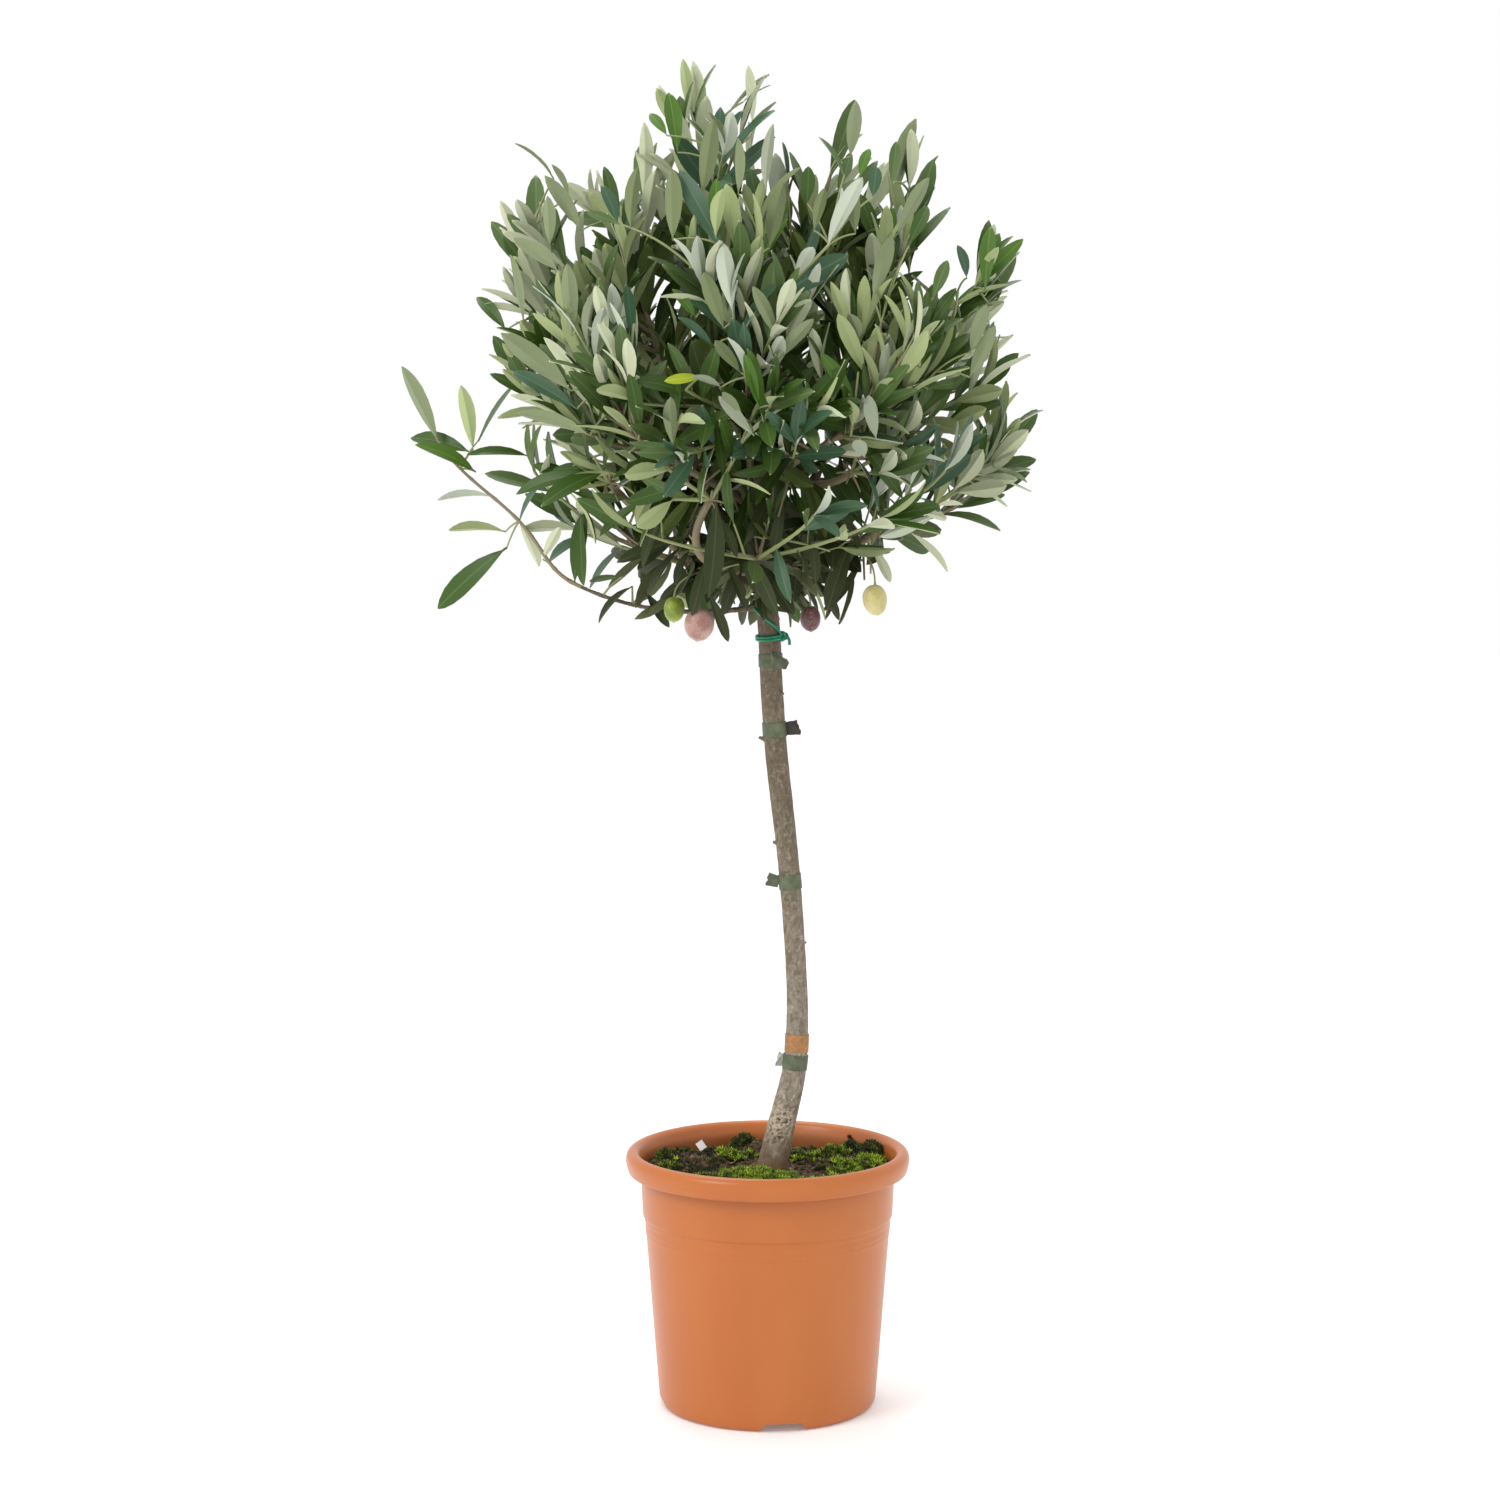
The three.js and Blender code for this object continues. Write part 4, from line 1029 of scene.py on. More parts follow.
turns = []
for i in range(TWINE_STEPS + 1):
    share = i / TWINE_STEPS
    a = KNOT_TURN + 4 * math.pi * share
    height = TWINE_HEIGHT + TWINE_CLIMB * share + 1.2 * math.sin(a)
    turns.append(trunk_ring(height, TWINE_RADIUS + 0.3, a)[0])
knot_at, _ = trunk_ring(650, 3.2, KNOT_TURN)
knot = []
for i in range(KNOT_STEPS + 1):
    t = 2 * math.pi * i / KNOT_STEPS
    out = 2 + math.cos(3 * t)
    loop = Vector((out * math.cos(2 * t), math.sin(3 * t) * 1.4, out * math.sin(2 * t)))
    knot.append(knot_at + loop * KNOT_SIZE)
climb = [knot_at + Vector((-1, -2, 1))] + [trunk_ring(h, TWINE_RADIUS + 0.4, a)[0] for h, a in CLIMB]
tail = [knot_at + Vector(p) for p in LOOSE_END]
parts = []
for line in (turns, knot, through(climb), through(tail)):
    parts.append(tube(line, [TWINE_RADIUS] * len(line), TWINE_SIDES))
vertices, faces = joined(parts)
twine = new_object("twine", [v * MM for v in vertices], faces, [twine_vinyl])
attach(twine, "root")
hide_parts("twine_loop")


# Shoots
# What has grown from the stems: side shoots set round each by the golden angle, more upright towards its end,
# and finer twigs on those. Each keeps to its mass's own space, and the crown's round outline holds them all.
CROWN = dict(middle=Vector((-10, 0, 868)), radius=238, above=246, below=214)
GOLDEN_ANGLE = math.pi * (3 - math.sqrt(5))
CLEAR = 0.3  # how far the first shoots keep off the next mass's space
SHOOTS, SHOOT_TRIES, SHOOT_LENGTH, SHORTEST_SHOOT = 6, 5, 105, 34
MORE_SHOOTS, MORE_LENGTH, MORE_CLEAR = 3, 84, -14
TWIG_LENGTH, TWIG_CLEAR = 56, -16
FULL_LEAF = 86  # the leaf's length that the outline allows for


def seeded(seed):
    """A seeded draw from 0 to 1."""
    state = (seed * 2654435761) % 4294967296

    def draw():
        nonlocal state
        state = (state * 1664525 + 1013904223) % 4294967296
        return state / 4294967296

    return draw


def crown_depth(place):
    """How far out in the crown a place is: 0 at its middle, 1 on its outline."""
    out = math.hypot(place.x - CROWN["middle"].x, place.y - CROWN["middle"].y) / CROWN["radius"]
    up = place.z - CROWN["middle"].z
    return math.hypot(out, up / (CROWN["above"] if up > 0 else CROWN["below"]))


def ragged_edge(place):
    """How far out the foliage comes on a place's side of the crown: in tufts, with notches between them."""
    way = (place - CROWN["middle"]).normalized()
    tufts = 0.26 * noise.noise(way * 2.6 + Vector((5.2, 1.3, 8.1))) + 0.12 * noise.noise(way * 5.5)
    return 0.88 - 0.14 * max(0, way.z) ** 2 + tufts


NOTCHES = [  # places at the crown's outline where light shows through from front to back: x, z, radius
    (44, 1056, 24), (31, 1082, 20), (150, 965, 33), (110, 684, 33), (-172, 726, 22), (-31, 1092, 17),
    (10, 1096, 9), (188, 722, 24), (166, 742, 18), (68, 688, 20), (-184, 748, 20), (-84, 706, 17),
    (222, 690, 30), (-131, 1046, 14), (178, 758, 17), (116, 724, 12), (-22, 1118, 12), (210, 956, 12),
    (163, 750, 13),
]
WINDOWS = [  # places where wood shows between the leaves in front: x, z, radius, and how far back they reach
    (-50, 756, 11, -70), (-58, 740, 9, -60), (-63, 724, 8, -50), (-46, 768, 9, -80), (-98, 905, 9, -70),
    (-94, 885, 8, -70), (74, 905, 8, -90), (66, 787, 8, -60), (-128, 780, 8, -50),
]


def in_reach(limb, place, slack=1.0):
    """Whether a place is inside the outline that a limb's foliage keeps to."""
    if limb["reach"]:
        return (place - limb["middle"]).length < limb["reach"] * slack
    if any(math.hypot(place.x - x, place.z - z) < radius for x, z, radius in NOTCHES):
        return False
    return crown_depth(place) < min(1.0, ragged_edge(place)) * slack


def in_space(limb, place, slack):
    """Whether a place is nearer to this mass's middle than to any other's, with so much to spare."""
    for other in LIMBS.values():
        if other is not limb:
            nearer = (place - other["middle"]).length_squared - (place - limb["middle"]).length_squared
            if nearer / (2 * (limb["middle"] - other["middle"]).length) <= slack:
                return False
    return True


WOOD_STEP = 6
wood_points = []
for h in range(200, 748, WOOD_STEP):
    wood_points.append(trunk_at(h))
for limb in LIMBS.values():
    steps = int(limb["line"].length / WOOD_STEP)
    for i in range(steps + 1):
        share = i / steps
        wood_points.append((limb["line"].at(share), mix(4.6, 2.0, share)))
wood_tree = kdtree.KDTree(len(wood_points))
for i, (p, _) in enumerate(wood_points):
    wood_tree.insert(p, i)
wood_tree.balance()


def off_the_wood(place, gap):
    """Whether a place is further than a gap from the trunk's and the limbs' bark."""
    _, i, away = wood_tree.find(place)
    return away > wood_points[i][1] + gap


def find_shoot(limb, parent, k, count, draw, size, slack, lift=0):
    """Draws a side shoot, and draws and shortens it again until it stays in its mass's space."""
    found = None
    low, high = (limb["bare"], 1) if parent is limb["line"] else (0.15, 1)
    for attempt in range(SHOOT_TRIES):
        along = (k + 0.5 + 0.6 * (draw() - 0.5)) / count
        turn = k * GOLDEN_ANGLE + attempt * 1.7 + 0.5 * (draw() - 0.5)
        lean = mix(1.2, 0.6, along) + 0.4 * (draw() - 0.5)
        length = size * mix(0.8, 1.2, draw())
        start_share = mix(low, high, mix(0.04, 0.94, along))
        start = parent.at(start_share)
        heading = (parent.leaning(start_share, lean, turn) + UP * lift).normalized()
        while length > SHORTEST_SHOOT * (0.7 if size < SHOOT_LENGTH else 1) and not found:
            end = start + heading * length
            line = Sweep(start, start + heading * length / 2, end + UP * limb["rise"] * length)
            leaf_tip = line.end + line.along(1) * FULL_LEAF * (0.55 if size == SHOOT_LENGTH else 0.5)
            is_inside = in_reach(limb, leaf_tip) and all(
                in_space(limb, p, slack) for p in (line.at(0.5), line.end, leaf_tip))
            if is_inside and off_the_wood(line.end, 4) and off_the_wood(line.at(0.6), 3):
                found = line
            length *= 0.85
    return found


LEADERS = [  # the furthest leaf tips of the strongest shoots, that stand out of the crown's outline
    (121, -25, 1070), (-80, -30, 1094), (212, -40, 884), (218, -20, 842), (-100, 20, 1062), (-40, 70, 1076),
    (-200, -30, 1034), (-216, 10, 1010), (-215, -30, 996), (-213, 30, 960), (186, -40, 986), (212, 90, 900),
    (213, -20, 846), (-238, -30, 927), (-214, -60, 828), (-206, -40, 858), (-222, 70, 880), (-90, -50, 662),
    (-40, -85, 650), (-70, 90, 678), (124, -40, 1020), (218, -30, 772), (20, -215, 940), (-178, 40, 1010),
    (215, 60, 800), (-200, 10, 770), (-95, -190, 950), (80, -190, 1000), (-30, -150, 1060), (-90, -205, 800),
    (60, -200, 790), (0, 215, 900), (110, 170, 990), (-110, 160, 1000), (200, 100, 850), (-190, 130, 900),
    (130, -160, 780), (-150, -140, 770), (-150, -165, 850), (-92, -205, 872), (-52, -222, 862),
    (12, -222, 858), (66, -205, 842), (165, -140, 905), (-10, -120, 1085), (-175, -120, 940),
    (150, -110, 965),
]
LEADER_LENGTH = 150  # what a leading shoot is near to
LEADER_LEAF, SPUR_LEAF = 52, 48  # from the end of a leading shoot, or of a spur's, to its leaf's tip


def leader(tip):
    """The limb that a leading shoot grows from, and its line to a leaf's length short of its tip."""
    tip = Vector(tip)
    best = None
    for limb in LIMBS.values():
        if limb["reach"]:
            continue
        for i in range(10):
            share = mix(limb["bare"] + 0.08, 0.86, i / 9)
            start = limb["line"].at(share)
            reach = (tip - start).length
            backward = max(0, 0.4 - limb["line"].along(share).dot((tip - start).normalized()))
            cost = abs(reach - LEADER_LENGTH) + 120 * backward
            if best is None or cost < best[0]:
                best = (cost, limb, share)
    _, limb, share = best
    start = limb["line"].at(share)
    bend = start.lerp(tip, 0.5) + limb["line"].along(share) * 12 - UP * 0.1 * (tip - start).length
    return limb, Sweep(start, bend, tip - (tip - bend).normalized() * LEADER_LEAF)


SPURS = [  # short boughs that end in a knuckle with a fan of shoots: limb, share, bend, knuckle, leaf tips
    ("front_low", 0.15, (-84, -84, 708), (-46, -114, 766),
     [(-130, -160, 850), (0, -168, 868), (-114, -152, 786)]),
    ("front_right", 0.1, (40, -50, 768), (66, -92, 787),
     [(84, -150, 872), (140, -150, 862), (112, -160, 806)]),
    ("right_low", 0.3, (80, -50, 726), (104, -90, 758),
     [(166, -130, 826), (178, -110, 770), (124, -140, 812)]),
    ("left_low", 0.3, (-96, -34, 742), (-128, -76, 779),
     [(-196, -110, 838), (-206, -90, 784), (-150, -130, 838)]),
]
KNUCKLE_STUBS = 9
INNER = 130  # short shoots of old shaded leaves on the limbs' bare lower parts
INNER_LOWEST = 698  # where the lowest of them may end
BARE_GAP = 9  # a single leaf further than this from all wood gets a twig
CROPS = {  # four crops of the photograph: the upper left corner of each, in pixels
    "top_left": (500, 60), "top_right": (740, 90), "left": (470, 240), "right": (740, 260),
}
CROP_ZOOM = 3.333  # a crop's own pixels to one of the photograph's
FOCAL_PIXELS, MIDDLE_ROW = 3254, 750  # the lens in pixels of the photograph, and the row it points at
TREE_COLUMN = 768  # where the pot's middle shows in the photograph
ROOT_DEPTH, TIP_DEPTH = 0.87, 0.95  # shares of the crown's round front that a leaf's two ends lie at
ROOT_REACH = 14  # how much nearer or further than its tip a leaf's root may lie
LEAST_FRONT = 25  # how far the front stands forward at the crown's outline
SINGLE_LEAVES = [  # leaves that show alone: root, tip, tint, and how far the upper face turns to the front
    ((-43, -118, 761), (-45, -126, 690), "dusk", 0.9), ((-37, -108, 755), (-23, -114, 722), "dusk", 0.7),
    ((-64, -80, 737), (-121, -92, 714), "dusk", 0.6), ((-69, -78, 729), (-102, -84, 694), "dusk", 0.3),
    ((-64, -60, 724), (-79, -70, 700), "dusk", 0.3), ((-55, -70, 710), (-61, -76, 673), "dusk", 0.9),
    ((-49, -72, 691), (-32, -66, 650), "dusk", 0.8), ((-34, -64, 713), (-14, -60, 676), "dusk", 0.7),
    ((-36, -70, 730), (-2, -76, 705), "dusk", 0.8), ((11, -50, 718), (0, -62, 671), "dusk", 0.9),
    ((27, -66, 736), (20, -78, 681), "dusk", 0.9), ((37, -60, 736), (49, -72, 697), "dusk", 0.7),
    ((66, -66, 732), (47, -78, 677), "dusk", 0.9), ((-101, -40, 688), (-82, -48, 661), "dusk", 0.9),
    ((-112, -36, 693), (-144, -44, 671), "dusk", 0.5), ((-120, -36, 701), (-147, -30, 696), "grey", 0.4),
    ((-154, -60, 752), (-153, -64, 694), "deep", 0.8), ((-18, -84, 736), (-9, -92, 690), "dusk", 0.8),
    ((-6, -84, 749), (30, -90, 722), "dusk", 0.7), ((-86, -100, 752), (-104, -108, 716), "dusk", 0.8),
    ((-102, -100, 764), (-136, -104, 738), "deep", 0.6), ((54, -90, 763), (78, -98, 726), "dusk", 0.6),
    ((14, -96, 768), (3, -106, 722), "dusk", 0.9), ((32, -96, 742), (40, -104, 700), "dusk", 0.5),
    ((-242, -20, 805), (-248, -40, 859), "fresh", -0.7), ((-244, -20, 803), (-295, -8, 822), "deep", 0.9),
    ((-240, -20, 787), (-279, -44, 815), "fresh", 0.8), ((-238, -20, 812), (-209, -10, 860), "deep", 0.05),
    ((-234, -19, 766), (-271, -34, 772), "blue", -0.6), ((-216, -18, 738), (-263, -44, 748), "deep", -0.8),
    ((-215, -18, 725), (-278, -10, 677), "deep", 0.8), ((-211, -17, 746), (-187, -40, 782), "blue", 0.6),
    ((-204, -17, 741), (-189, 4, 710), "grey", -0.8), ((-186, -15, 715), (-170, -34, 743), "grey", -0.9),
    ((-159, -13, 691), (-154, -24, 753), "deep", 0.8), ((-13, -35, 1068), (-16, -40, 1113), "grey", -0.3),
    ((-34, -30, 1076), (-1, -34, 1110), "grey", 0.05), ((-62, -8, 1074), (-70, -20, 1120), "fresh", -0.5),
    ((-60, -8, 1076), (-47, -14, 1118), "grey", 0.3), ((-74, -20, 1062), (-90, -24, 1097), "fresh", -0.6),
    ((-40, 150, 800), (-66, 170, 796), "yellow", 0.7), ((-196, -24, 800), (-241, -44, 809), "deep", 0.8),
]
FRONT_LEAVES = [  # the same on the crown's front: the crop that a leaf is read in, its root and tip there
    ("left", (330, 320), (318, 75), "sage", -0.9), ("left", (165, 265), (108, 40), "sage", -0.6),
    ("left", (290, 100), (140, -10), "sage", -0.8), ("left", (120, 300), (20, 170), "deep", 0.9),
    ("left", (330, 500), (120, 310), "sage", -0.9), ("left", (350, 560), (130, 430), "blue", 0.9),
    ("left", (390, 650), (170, 550), "sage", -0.7), ("left", (672, 690), (645, 510), "sage", -0.6),
    ("left", (940, 650), (820, 525), "pale", -0.9), ("left", (560, 640), (520, 440), "deep", 0.6),
    ("left", (840, 290), (770, 105), "olive", -0.9), ("left", (830, 490), (735, 440), "pale", -0.7),
    ("left", (765, 455), (645, 460), "yellow", 0.95), ("left", (805, 350), (690, 250), "blue", 0.9),
    ("left", (895, 440), (810, 330), "olive", -0.9), ("left", (960, 560), (905, 370), "fresh", 0.6),
    ("left", (745, 250), (680, 155), "fresh", 0.9), ("top_right", (440, 690), (505, 480), "sage", -0.9),
    ("right", (480, 460), (490, 270), "pale", -0.9), ("right", (455, 600), (425, 450), "pale", -0.9),
    ("right", (125, 260), (40, 75), "sage", -0.8), ("right", (110, 345), (240, 180), "sage", -0.5),
    ("right", (400, 260), (370, 165), "sage", -0.8), ("right", (760, 390), (845, 225), "sage", -0.8),
    ("right", (630, 430), (740, 400), "grey", 0.8), ("right", (600, 360), (665, 210), "deep", 0.8),
    ("right", (765, 310), (810, 150), "sage", -0.8), ("right", (415, 660), (385, 600), "pale", -0.9),
    ("right", (75, 540), (10, 290), "fresh", 0.5), ("right", (0, 545), (-60, 430), "sage", -0.8),
    ("top_left", (590, 310), (560, 105), "fresh", 0.9), ("top_left", (555, 250), (495, 170), "fresh", 0.6),
    ("top_left", (430, 560), (435, 370), "olive", -0.9), ("top_left", (570, 600), (560, 360), "olive", -0.8),
    ("top_left", (670, 450), (710, 220), "olive", -0.8), ("top_left", (260, 560), (160, 380), "sage", -0.8),
    ("top_left", (395, 550), (285, 510), "grey", 0.8), ("top_left", (390, 545), (340, 415), "blue", 0.8),
    ("top_left", (180, 690), (20, 510), "grey", 0.9), ("top_left", (155, 610), (140, 440), "sage", -0.7),
    ("top_left", (740, 640), (590, 360), "blue", 0.9), ("top_left", (880, 430), (890, 230), "pale", -0.9),
    ("top_left", (790, 440), (800, 260), "sage", -0.7), ("top_left", (835, 520), (815, 400), "olive", -0.9),
    ("top_right", (370, 210), (385, 15), "sage", -0.9), ("top_right", (395, 290), (425, 190), "fresh", 0.7),
    ("top_right", (380, 480), (365, 310), "olive", -0.9), ("top_right", (530, 470), (640, 280), "sage", -0.6),
    ("top_right", (560, 520), (625, 370), "deep", 0.7), ("top_right", (825, 660), (840, 440), "fresh", 0.8),
    ("top_right", (765, 620), (748, 505), "blue", 0.8), ("top_right", (640, 690), (690, 565), "grey", 0.6),
    ("top_right", (220, 380), (225, 255), "deep", 0.9), ("top_right", (240, 470), (270, 330), "olive", -0.9),
    ("top_right", (345, 285), (265, 150), "grey", 0.2), ("top_right", (505, 400), (570, 90), "sage", -0.5),
    ("top_right", (510, 300), (525, 155), "grey", 0.6), ("top_right", (440, 360), (450, 250), "blue", 0.7),
    ("top_right", (95, 520), (130, 310), "olive", -0.8),
]
LAST_LEAVES = [  # the same as the first, at the crown's lower and outer edges
    ((115, -70, 739), (146, -70, 709), "grey", -0.4), ((84, -80, 728), (98, -82, 698), "grey", -0.5),
    ((171, -60, 786), (216, -62, 772), "grey", 0.05), ((190, -60, 811), (218, -58, 844), "grey", 0.05),
    ((184, -70, 791), (212, -72, 780), "sage", -0.6), ((134, -90, 761), (155, -92, 763), "grey", -0.5),
    ((-174, -50, 1024), (-197, -46, 1058), "olive", 0.05),
    ((-162, -60, 1008), (-170, -56, 1036), "sage", -0.3), ((-21, -40, 1086), (0, -38, 1102), "grey", 0.1),
    ((174, -60, 929), (202, -56, 965), "deep", 0.05), ((177, -80, 924), (200, -76, 947), "sage", 0.05),
]


def seen_at(column, row, y):
    """The x and z in millimetres of what shows at a pixel of the photograph, at a depth."""
    tilt = math.radians(CAMERA_TILT)
    distance, height = y - CAMERA_PLACE[1] / MM, CAMERA_PLACE[2] / MM
    rise = distance * math.tan(math.atan((MIDDLE_ROW - row) / FOCAL_PIXELS) - tilt)
    away = distance * math.cos(tilt) - rise * math.sin(tilt)
    return (column - TREE_COLUMN) * away / FOCAL_PIXELS, height + rise


def on_front(crop, spot, depth, near=None):
    """A place on the crown's round front from one in a crop. A leaf's root stays near its tip's depth."""
    column, row = (corner + at / CROP_ZOOM for corner, at in zip(CROPS[crop], spot))
    y = -100
    for _ in range(12):
        x, z = seen_at(column, row, y)
        left = max(0, 1 - crown_depth(Vector((x, 0, z))) ** 2)
        y = -max(LEAST_FRONT, CROWN["radius"] * depth * math.sqrt(left))
        if near is not None:
            y = max(near - ROOT_REACH, min(near + ROOT_REACH, y))
    return round(x), round(y), round(z)


front_leaves = []
for crop, root, tip, tint, face in FRONT_LEAVES:
    tip = on_front(crop, tip, TIP_DEPTH)
    front_leaves.append((on_front(crop, root, ROOT_DEPTH, tip[1]), tip, tint, face))

# What grows is kept as line, limb and order: 0 a stem, 1 its shoots, 2 finer twigs, 3 leading shoots, 4 inner
# shoots, 5 spurs, 6 the twigs of single leaves, 7 the dry stubs of cut shoots.
shoots = []
for number, limb in enumerate(LIMBS.values(), 1):
    stem = limb["line"]
    draw, more = seeded(number), seeded(number + 200)
    lift = limb["rise"] * 3.4
    shoots.append((stem, limb, 0))
    first_order = [find_shoot(limb, stem, k, SHOOTS, draw, SHOOT_LENGTH, CLEAR) for k in range(SHOOTS)]
    if limb["reach"]:
        first_order = []
    else:
        first_order += [
            find_shoot(limb, stem, k + 0.5, MORE_SHOOTS, more, MORE_LENGTH, MORE_CLEAR, lift)
            for k in range(MORE_SHOOTS)
        ]
    for line in filter(None, first_order):
        shoots.append((line, limb, 1))
        finer = 0 if limb["reach"] else round(line.length / 40)
        for k in range(finer):
            twig = find_shoot(limb, line, k, finer, more, TWIG_LENGTH, TWIG_CLEAR, lift)
            if twig:
                shoots.append((twig, limb, 2))
for tip in LEADERS:
    limb, line = leader(tip)
    shoots.append((line, limb, 3))
for name, share, bend, knuckle, tips in SPURS:
    limb, knuckle = LIMBS[name], Vector(knuckle)
    shoots.append((Sweep(limb["line"].at(share), Vector(bend), knuckle), limb, 5))
    for tip in map(Vector, tips):
        bend = knuckle.lerp(tip, 0.45) - UP * 0.1 * (tip - knuckle).length
        shoots.append((Sweep(knuckle, bend, tip - (tip - bend).normalized() * SPUR_LEAF), limb, 3))
    for k in range(KNUCKLE_STUBS):
        turn, high = k * GOLDEN_ANGLE, 1 - 2 * (k + 0.5) / KNUCKLE_STUBS
        level = math.sqrt(1 - high * high)
        out = Vector((math.cos(turn) * level, math.sin(turn) * level, high))
        stub_end = knuckle + out * (7 + 5 * (k % 3))
        shoots.append((Sweep(knuckle, knuckle.lerp(stub_end, 0.5) + UP * 1.5, stub_end), limb, 7))
draw = seeded(77)
inner_limbs = [limb for limb in LIMBS.values() if not limb["reach"]]
low_limbs = [LIMBS[name] for name in ("front_low", "left_low", "right_low", "back_low")]
for k in range(INNER):
    limb = low_limbs[k // 2 % 4] if k % 2 else inner_limbs[k // 2 % len(inner_limbs)]
    share = mix(0.05, 0.5, draw())
    start = limb["line"].at(share)
    heading = (limb["line"].square(share, k * GOLDEN_ANGLE) + UP * mix(-0.6, 0.3, draw())).normalized()
    length = mix(22, 54, draw())
    end = start + (heading - UP * 0.2) * length
    if end.z > INNER_LOWEST:
        shoots.append((Sweep(start, start + heading * length / 2, end), limb, 4))

wood_spots = [(line.at(i / 12), limb) for line, limb, _ in shoots for i in range(13)]
shoot_tree = kdtree.KDTree(len(wood_spots))
for i, (spot, _) in enumerate(wood_spots):
    shoot_tree.insert(spot, i)
shoot_tree.balance()
single_leaves = []  # root, tip, tint, and how far its face is turned, with its root on some wood


def set_back(root):
    """How far back a single leaf goes, so that its twig is short."""
    steps = [Vector((0, back, 0)) for back in range(0, 45, 5)]
    return min(steps, key=lambda step: shoot_tree.find(root + step)[2] + 0.3 * step.y)


for root, tip, tint, face in SINGLE_LEAVES + front_leaves + LAST_LEAVES:
    root, tip = Vector(root), Vector(tip)
    spot, i, away = shoot_tree.find(root)
    if away > BARE_GAP:
        back = set_back(root)
        root, tip = root + back, tip + back
        spot, i, away = shoot_tree.find(root)
        shoots.append((Sweep(spot, spot.lerp(root, 0.5) + UP * 0.15 * away, root), wood_spots[i][1], 6))
    else:
        root = spot
    single_leaves.append((root, tip, tint, face))


def tube_tree():
    """Tapered round tubes along a mesh's edges, by the radius at each point."""
    group, given = new_tree("tapered_tubes", Sides="Int", Finish="Material")
    lines = node(group, "GeometryNodeMeshToCurve", {"Mesh": given["Geometry"]})
    ring = node(group, "GeometryNodeCurvePrimitiveCircle", {"Resolution": given["Sides"], "Radius": 1.0})
    tubes = node(group, "GeometryNodeCurveToMesh", {
        "Curve": lines.outputs[0], "Profile Curve": ring.outputs["Curve"],
        "Scale": named(group, "thick", "FLOAT"), "Fill Caps": True})
    node(group, "NodeGroupOutput", {"Geometry": made_real(group, tubes.outputs[0], given["Finish"])})
    return group


def twig_lines(name, lines):
    """Open lines as edges, with a thickness at each point. A line is a list of (place, radius)."""
    spots, edges, radii = [], [], []
    for line in lines:
        first = len(spots)
        spots += [tuple(p * MM) for p, _ in line]
        radii += [r * MM for _, r in line]
        edges += [(first + i, first + i + 1) for i in range(len(line) - 1)]
    mesh = bpy.data.meshes.new(name)
    mesh.from_pydata(spots, edges, [])
    mesh.attributes.new("thick", "FLOAT", "POINT").data.foreach_set("value", radii)
    thing = bpy.data.objects.new(name, mesh)
    scene.collection.objects.link(thing)
    return thing


PAIR_GAP, LOOSE_PAIR_GAP = 14.5, 19  # between two pairs of leaves, in the crown and on the left spray
FIRST_PAIR = {0: 0.45, 1: 0.2, 2: 0.2, 3: 0.25, 4: 0.35}  # its share along a shoot, by order
TWIG_RADII = {  # at the foot and at the end, by order
    1: (1.7, 1.0), 2: (1.2, 0.75), 3: (1.8, 1.0), 4: (1.3, 0.8), 5: (3.9, 3.0), 6: (1.0, 0.7), 7: (1.1, 0.7),
}
GREEN_ORDERS = (2, 3, 6)
NODE_SWELL, NODE_LENGTH = 0.22, 2.2  # where a pair of leaves stands: how much thicker, and for how far


def pair_shares(line, limb, order):
    """Where the pairs of leaves stand along a shoot. They are further apart at the top of the crown."""
    if order > 4:
        return []
    gap = (LOOSE_PAIR_GAP if limb["reach"] else PAIR_GAP) + 5 * held((line.end.z - 920) / 110)
    pairs = max(1, round((0.95 - FIRST_PAIR[order]) * line.length / gap))
    return [mix(FIRST_PAIR[order], 0.95, i / max(1, pairs - 1)) for i in range(pairs)]


woody, green = [], []
for line, limb, order in shoots:
    begin = limb["bare"] - 0.02 if order == 0 else 0
    stem = (STEM_RADIUS * 1.02 * limb["slim"], STEM_END_RADIUS * min(1, limb["slim"] + 0.2))
    thick, thin = TWIG_RADII.get(order, stem)
    nodes_at = pair_shares(line, limb, order)
    count = max(8, int(line.length / 5))
    points = []
    for i in range(count + 1):
        share = mix(begin, 1, i / count)
        swell = max([0] + [math.exp(-(((share - s) * line.length) / NODE_LENGTH) ** 2) for s in nodes_at])
        points.append((line.at(share), mix(thick, thin, i / count) * (1 + NODE_SWELL * swell)))
    (green if order in GREEN_ORDERS else woody).append(points)

# One-year wood: tan-grey and dull. This year's shoots: pale yellow-green, slightly waxy.
twig_bark = new_material("olive_twig_bark", Base_Color=linear("#85795f"), Roughness=0.75)
shoot_skin = new_material("young_olive_shoot", Base_Color=linear("#8c9462"), Roughness=0.6)
tubes = tube_tree()
stems = grown(twig_lines("twigs_woody", woody), tubes, Sides=7, Finish=twig_bark)
sprouts = grown(twig_lines("twigs_green", green), tubes, Sides=6, Finish=shoot_skin)
foliage_nodes = [f"foliage_{name}" for name in LIMBS]
for thing in (stems, sprouts):
    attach(thing, "root")
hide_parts(*foliage_nodes)


